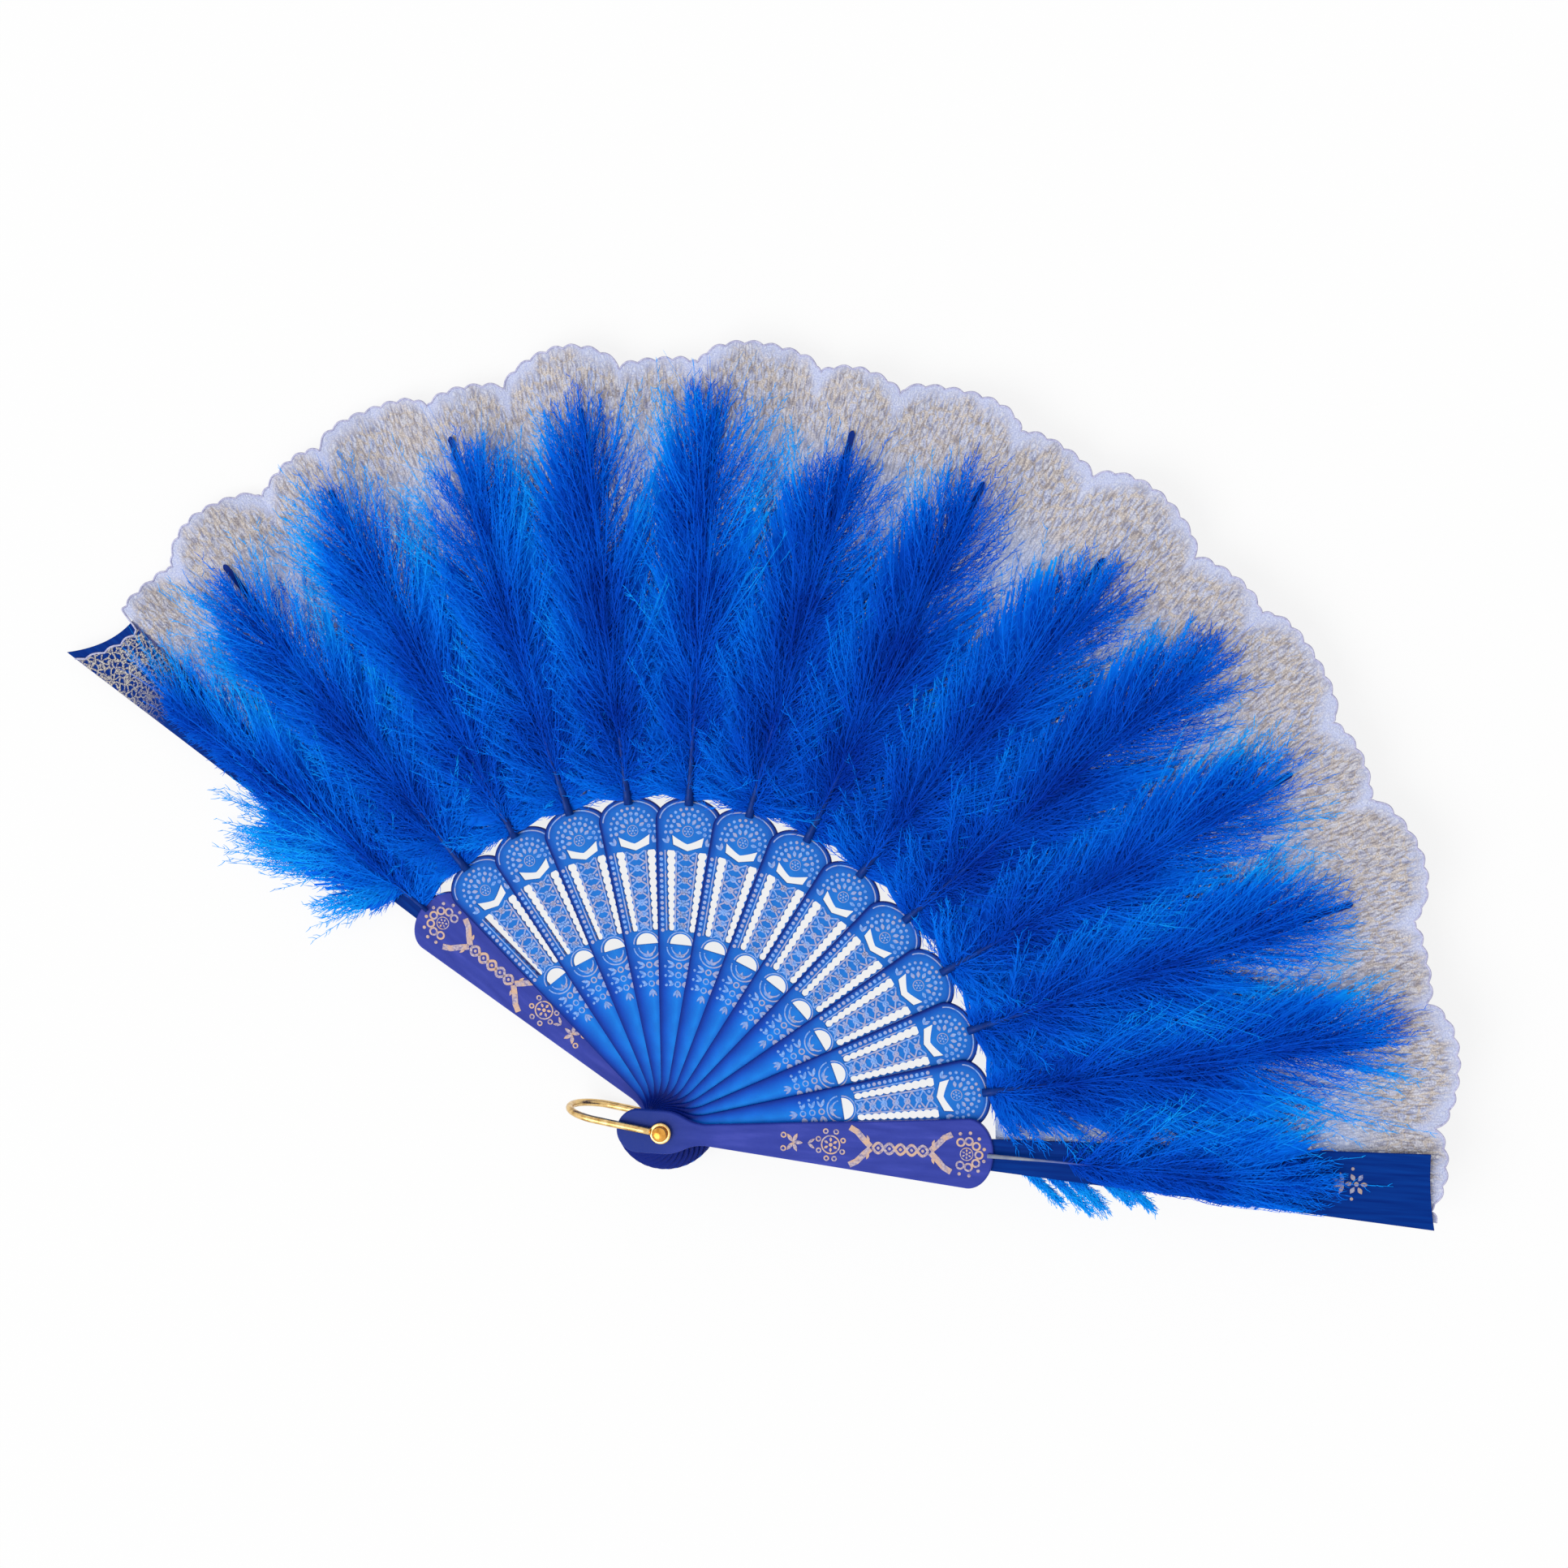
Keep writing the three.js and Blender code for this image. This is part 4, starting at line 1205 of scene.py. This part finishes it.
class Feather:
    """One down feather in the frame of the stick that carries it, +Y along the stick, Z = 0 on its rib."""

    def __init__(self, index):
        self.index = index
        self.rng = np.random.default_rng(FIRST_SEED + index)
        self.points, self.quads, self.tints = [], [], []
        self.count = 0
        self.bow = self.rng.normal(0, QUILL_BOW)
        self.reach = FEATHER_LENGTH * self.rng.uniform(*LENGTH_RANGE) * GUARD_FEATHERS.get(index, 1.0)
        deeper = DEEPER * math.exp(-((index - DEEPEST) / DEEP_SPREAD) ** 2)
        self.dye = QUILL_TINT + self.rng.normal(0, FEATHER_TINT) - deeper
        self.inner = {0: 1, GAPS: -1}.get(index, 0)
        self.thin_side = 1 if self.rng.random() < THIN_RIGHT else -1
        turn = stick_angle(index)
        self.cos, self.sin = math.cos(turn), math.sin(turn)

    def settled(self, points, clearance=CLEARANCE):
        """Points lifted clear of what lies under the feather, and kept to the height of its fluff."""
        across, along, height = np.moveaxis(points, -1, 0)
        height = np.where(height > 0, FLUFF * np.tanh(height / FLUFF), height)
        if self.index == GAPS:
            hold = slat_outer(along) - LAP_MARGIN - SLAT_HOLD
            over = np.maximum(across - hold, 0)
            across = np.minimum(across, hold) + SLAT_HOLD * np.tanh(over / SLAT_HOLD)
        x = across * self.cos - along * self.sin
        y = across * self.sin + along * self.cos
        lowest = surface(x, y) - RIB_TOPS[self.index] + clearance
        return np.stack([across, along, np.maximum(height, lowest)], axis=-1)

    def rachis(self, s):
        lift = QUILL_RADII[0] + QUILL_GAP + QUILL_ARCH * np.sin(np.clip(s, 0, 1) * ARCH_TURN)
        return np.stack([self.bow * s ** 2, FEATHER_START + s * self.reach, lift], axis=-1)

    def ribbons(self, lines, widths, own):
        """Flat tapering strands along lines of shape (strands, points, 3). own shifts the tint of each."""
        strands, steps, _ = lines.shape
        along = np.gradient(lines, axis=1)
        facing = np.array((0, 0, 1.0)) + self.rng.normal(0, RUFFLE, (strands, 1, 3))
        across = unit(np.cross(along, np.broadcast_to(facing, along.shape)))
        half = np.linspace(*widths, steps)[None, :, None] / 2
        pairs = np.stack([lines - across * half, lines + across * half], axis=2)
        self.points.append(pairs.reshape(-1, 3))
        share = np.clip((lines[..., 1] - FEATHER_START) / self.reach, 0, PAST_TIP)
        pale = np.clip(np.abs(lines[..., 0] - self.bow * share ** 2) / EDGE_REACH, 0, 1)
        tint = self.dye + EDGE_TINT * pale + TIP_TINT * share ** 2
        tint = tint + ROOT_TINT * np.exp(-share / ROOT_REACH) + own
        self.tints.append(np.repeat(tint.reshape(-1), 2))
        start = self.count + (np.arange(strands)[:, None] * steps + np.arange(steps - 1)[None, :]) * 2
        start = start.reshape(-1)
        self.quads.append(np.stack([start, start + 1, start + 3, start + 2], axis=1))
        self.count += strands * steps * 2

    def barb_angles(self, s, side):
        return LEANS.get((self.index, side), 1.0) * np.interp(s, BARB_STATIONS, BARB_ANGLES)

    def barb_lengths(self, s, edge, uneven=0.0):
        """Barb lengths at shares s of the quill, and how far each is within the stretch that spills."""
        length = BARB_LENGTH * np.interp(s, BARB_STATIONS, BARB_LENGTHS)
        nowhere = np.zeros(len(s))
        if not edge:
            return length, nowhere
        begun = np.clip((s - edge.start) / EDGE_FADES[0] + 0.5, 0, 1)
        inside = begun * np.clip((edge.end - s) / EDGE_FADES[1], 0, 1)
        length = length * (edge.trim + (edge.size * (1 + uneven) - edge.trim) * inside)
        return length, inside if edge.spill else nowhere

    def barb_places(self, side, edge):
        """Shares of the quill's length where barbs leave it on one side."""
        rng = self.rng
        s = rng.random(BARBS_PER_SIDE)
        thin = TIP_THINNING + (SIDE_THINNING if side == self.thin_side else 0)
        past = np.clip((s - THINNING_START) / (1 - THINNING_START), 0, 1)
        s = s[rng.random(len(s)) > thin * past]
        if edge:
            growing = np.clip((s - edge.bare) / BARE_FADE, 0, 1) if self.index == GAPS else s > edge.bare
            s = s[rng.random(len(s)) < growing]
            s = np.concatenate([s, rng.uniform(edge.start, edge.end, int(BARBS_PER_SIDE * edge.spill))])
        return s

    def undercoat(self, side, edge):
        """Broad soft strands close to the leaf, which close the gaps under the barbs."""
        rng = self.rng
        start = edge.bare if edge else 0.0
        if self.index == GAPS:
            start += BARE_FADE
        end = THIN_UNDERCOAT_END if side == self.thin_side else UNDERCOAT_END
        s = np.linspace(start, end, UNDERCOAT)
        angle = self.barb_angles(s, side) + rng.normal(0, UNDERCOAT_SWAY, UNDERCOAT)
        length = self.barb_lengths(s, edge)[0] * rng.uniform(*UNDERCOAT_SIZES, UNDERCOAT)
        bend = np.tile(np.array(UNDERCOAT_BEND) * (-side, 1, 1), (UNDERCOAT, 1))
        base = self.rachis(s) - (0, 0, UNDERCOAT_DROP)
        curve = strand_curve(base, side * np.radians(angle), np.zeros(UNDERCOAT), length, bend)
        own = rng.normal(0, UNDERCOAT_TINT, (UNDERCOAT, 1))
        lines = self.settled(curve(shares(UNDERCOAT)), UNDERCOAT_CLEARANCE)
        self.ribbons(lines, UNDERCOAT_WIDTHS, own)

    def barbs(self, side, edge):
        rng = self.rng
        s = self.barb_places(side, edge)
        n = len(s)
        clump = np.minimum((s * CLUMPS).astype(int), CLUMPS - 1)
        to_clump = (clump + 0.5) / CLUMPS - s
        sway, lift, size = (draw[clump] for draw in rng.normal(size=(3, CLUMPS)))
        stray = np.where(rng.random(n) < STRAYS, rng.uniform(*STRAY_LEANS, n), 1.0)
        angle = stray * self.barb_angles(s, side) + CLUMP_SWAY * sway + rng.normal(0, BARB_SWAY, n)
        rise = BARB_RISE + CLUMP_RISE * lift + STRAY_RISE * (1 - stray) + rng.normal(0, RISE_SPREAD, n)
        uneven = RAGGED if edge and edge.spill else EVEN
        length, inside = self.barb_lengths(s, edge, uneven * size)
        length = length * (1 + CLUMP_SIZE * size) * rng.uniform(*BARB_SIZES, n)
        bend = np.array(BARB_BEND) * (-side, 1, 1) + rng.normal(0, 1, (n, 3)) * BEND_SPREAD
        rise = np.radians(rise) - SPILL_DROP * inside
        curve = strand_curve(self.rachis(s), side * np.radians(angle), rise, length, bend)
        pull = ((CLUMPING + SPILL_CLUMPING * inside) * to_clump * self.reach)[:, None]
        phase = rng.uniform(0, FULL_TURN, (n, 1))
        wave = rng.normal(0, WAVE_HEIGHT, (n, 1, 3))

        def strand(t):
            points = curve(t) + wave * (np.sin(t * WAVE_TURN + phase) * t)[..., None]
            points[..., 1] += pull * t ** 2
            return self.settled(points)

        own = rng.normal(0, BARB_TINT, (n, 1)) + (CLUMP_TINT * size + SPILL_TINT * inside)[:, None]
        self.vane(strand, n, own, self.settled)

    def tufts(self):
        """Stubby tufts that come out from behind the front guard's slat."""
        rng = self.rng
        roots, lengths = np.repeat(np.array(TUFTS, float), TUFT_BARBS, axis=0).T
        n = len(roots)
        off = rng.uniform(-1, 1, n)
        roots = roots + TUFT_HALF * off
        base = np.stack([slat_outer(roots) - TUFT_INSET, roots, np.full(n, -TUFT_DROP)], axis=1)
        angle = np.radians(TUFT_ANGLE + TUFT_FAN * off + rng.normal(0, TUFT_SWAY, n))
        bend = np.array(TUFT_BEND) + rng.normal(0, TUFT_BEND_SPREAD, (n, 3))
        length = lengths * (1 - TUFT_TAPER * off ** 2) * rng.uniform(*TUFT_SIZES, n)
        strand = strand_curve(base, angle, np.zeros(n), length, bend)
        own = rng.normal(*TUFT_TINT, (n, 1))
        self.vane(strand, n, own, lambda points: points, TUFT_FUZZ)

    def wisps(self):
        """Long bare barbs that stray past the tip."""
        rng = self.rng
        s = rng.uniform(*WISP_PLACES, WISPS)
        angle = np.radians(rng.normal(0, WISP_SWAY, WISPS))
        angle = self.inner * np.abs(angle) if self.inner else angle
        bend = np.array(WISP_BEND) + rng.normal(0, WISP_BEND_SPREAD, (WISPS, 3))
        rise = np.radians(rng.uniform(*WISP_RISE, WISPS))
        curve = strand_curve(self.rachis(s), angle, rise, rng.uniform(*WISP_LENGTH, WISPS), bend)
        own = rng.uniform(*WISP_TINTS, (WISPS, 1))
        self.ribbons(self.settled(curve(shares(WISPS))), WISP_WIDTHS, own)

    def vane(self, strand, n, own, settle, fuzz=1.0):
        """n barbs along strand, with the barbules on them. own shifts the tint of each barb."""
        rng = self.rng
        self.ribbons(strand(shares(n)), BARB_WIDTHS, own)
        t = np.clip((np.arange(BARBULES) + rng.random((n, BARBULES))) / BARBULES, FIRST_BARBULE, 1)
        root = strand(t)
        along = unit(strand(np.minimum(t + NEAR, 1 + NEAR)) - strand(np.maximum(t - NEAR, 0)))
        away = rng.normal(size=root.shape)
        away = unit(away - np.sum(away * along, axis=2, keepdims=True) * along)
        lean = np.radians(rng.uniform(*BARBULE_LEAN, t.shape))[..., None]
        heading = along * np.cos(lean) + away * np.sin(lean)
        length = (fuzz * rng.uniform(*BARBULE_LENGTH, t.shape) * (1 - BARBULE_TAPER * t))[..., None]
        middle = root + heading * length * BARBULE_MIDDLE
        tip = root + (heading * BARBULE_TIP[0] + along * BARBULE_TIP[1] - (0, 0, BARBULE_DROP)) * length
        lines = np.stack([root, settle(middle), settle(tip)], axis=2).reshape(-1, 3, 3)
        self.ribbons(lines, BARBULE_WIDTHS, np.repeat(own, BARBULES, axis=0))

    def mesh(self, name, materials):
        quill = Build()
        s = np.linspace(QUILL_ROOT, 1, QUILL_STEPS)
        slim = GUARD_QUILL if self.inner else 1.0
        tube(quill, self.rachis(s), slim * np.interp(s, QUILL_STATIONS, QUILL_RADII), 8)
        points = np.concatenate([np.asarray(quill.points), *self.points])
        quads = np.concatenate(self.quads) + len(quill.points)
        mesh = bpy.data.meshes.new(name)
        mesh.from_pydata(points * MM, [], [*quill.faces, *quads.tolist()])
        for material in materials:
            mesh.materials.append(material)
        kind = np.zeros(len(mesh.polygons), np.int32)
        kind[:len(quill.faces)] = 1
        mesh.polygons.foreach_set("material_index", kind)
        point_layer(mesh, "tint", np.concatenate([np.zeros(len(quill.points)), *self.tints]))
        mesh.shade_smooth()
        return mesh


def make_feathers():
    soft = down()
    navy = quill_horn("navy_quill", (0.0, 0.016, 0.15), (0.002, 0.05, 0.32))
    pale = quill_horn("pale_quill", (0.16, 0.20, 0.32), (0.34, 0.36, 0.42))
    for i in range(GAPS + 1):
        feather = Feather(i)
        for side in SIDES:
            edge = EDGES.get((i, side))
            feather.undercoat(side, edge)
            feather.barbs(side, edge)
        if i == GAPS:
            feather.tufts()
        else:
            feather.wisps()
        name = f"feather_{i + 1:02d}"
        mesh = feather.mesh(f"{name}_down", (soft, pale if i == GAPS else navy))
        piece = put(f"{name}_down", mesh, BODIES[i], seat(i, RIB_TOPS[i]), [name])
        flatten(piece)


# Floor, light and camera

def seen_white(paint):
    """1 for rays that should find a white background, 0 for those that carry light to the object."""
    path = paint.node("LightPath", {})
    either = paint.maths("MAXIMUM", path.outputs["Is Camera Ray"], path.outputs["Is Glossy Ray"])
    return paint.maths("MAXIMUM", either, path.outputs["Is Transmission Ray"])


def make_floor():
    mesh = bpy.data.meshes.new("floor")
    corners = [(-1, -1), (1, -1), (1, 1), (-1, 1)]
    mesh.from_pydata([(x * FLOOR_HALF, y * FLOOR_HALF, 0) for x, y in corners], [], [(0, 1, 2, 3)])
    floor = new_object("floor", mesh)
    floor.location.z = -FLOOR_DROP
    paint = finish("floor_white")
    paint.set(Base_Color=(0.9, 0.9, 0.9), Roughness=0.9)
    white = paint.node("Emission", {"Color": (1, 1, 1), "Strength": 1.0})
    share = paint.maths("MULTIPLY", seen_white(paint), FLOOR_WHITE)
    lit = paint.tree.nodes["Principled BSDF"].outputs[0]
    mix = paint.node("MixShader", {0: share, 1: lit, 2: white.outputs[0]})
    paint.fill(paint.tree.nodes["Material Output"].inputs["Surface"], mix.outputs[0])
    mesh.materials.append(paint.owner)


def make_light():
    world = bpy.data.worlds.new("studio")
    bpy.context.scene.world = world
    paint = Paint(world)
    sky = paint.tree.nodes["Background"]
    paint.fill(sky.inputs["Color"], (1.0, 1.0, 1.0))
    paint.fill(sky.inputs["Strength"], paint.remap(seen_white(paint), first=SKY_LIGHT, last=1.0))
    lamp = bpy.data.lights.new("key", "SUN")
    lamp.energy = KEY_ENERGY
    lamp.angle = KEY_SIZE
    new_object("key", lamp).rotation_euler = KEY_TURN


def make_camera():
    level = math.cos(CAMERA_ELEVATION)
    x, y = level * math.sin(CAMERA_AZIMUTH), -level * math.cos(CAMERA_AZIMUTH)
    back = Vector((x, y, math.sin(CAMERA_ELEVATION)))
    right = Vector((0, 0, 1)).cross(back).normalized()
    up = back.cross(right)
    c, s = math.cos(CAMERA_ROLL), math.sin(CAMERA_ROLL)
    axes = Matrix((c * right + s * up, c * up - s * right, back)).transposed().to_4x4()
    data = bpy.data.cameras.new("camera")
    data.lens = CAMERA_LENS
    data.sensor_width = SENSOR
    data.sensor_fit = "HORIZONTAL"
    data.clip_start = CAMERA_NEAR
    camera = new_object("camera", data)
    camera.matrix_world = Matrix.Translation(CAMERA_AIM + back * CAMERA_DISTANCE) @ axes
    bpy.context.scene.camera = camera


bpy.context.scene.view_settings.view_transform = "Standard"
make_camera()
make_floor()
make_light()
make_sticks()
make_guards()
make_fittings()
make_leaf()
make_feathers()
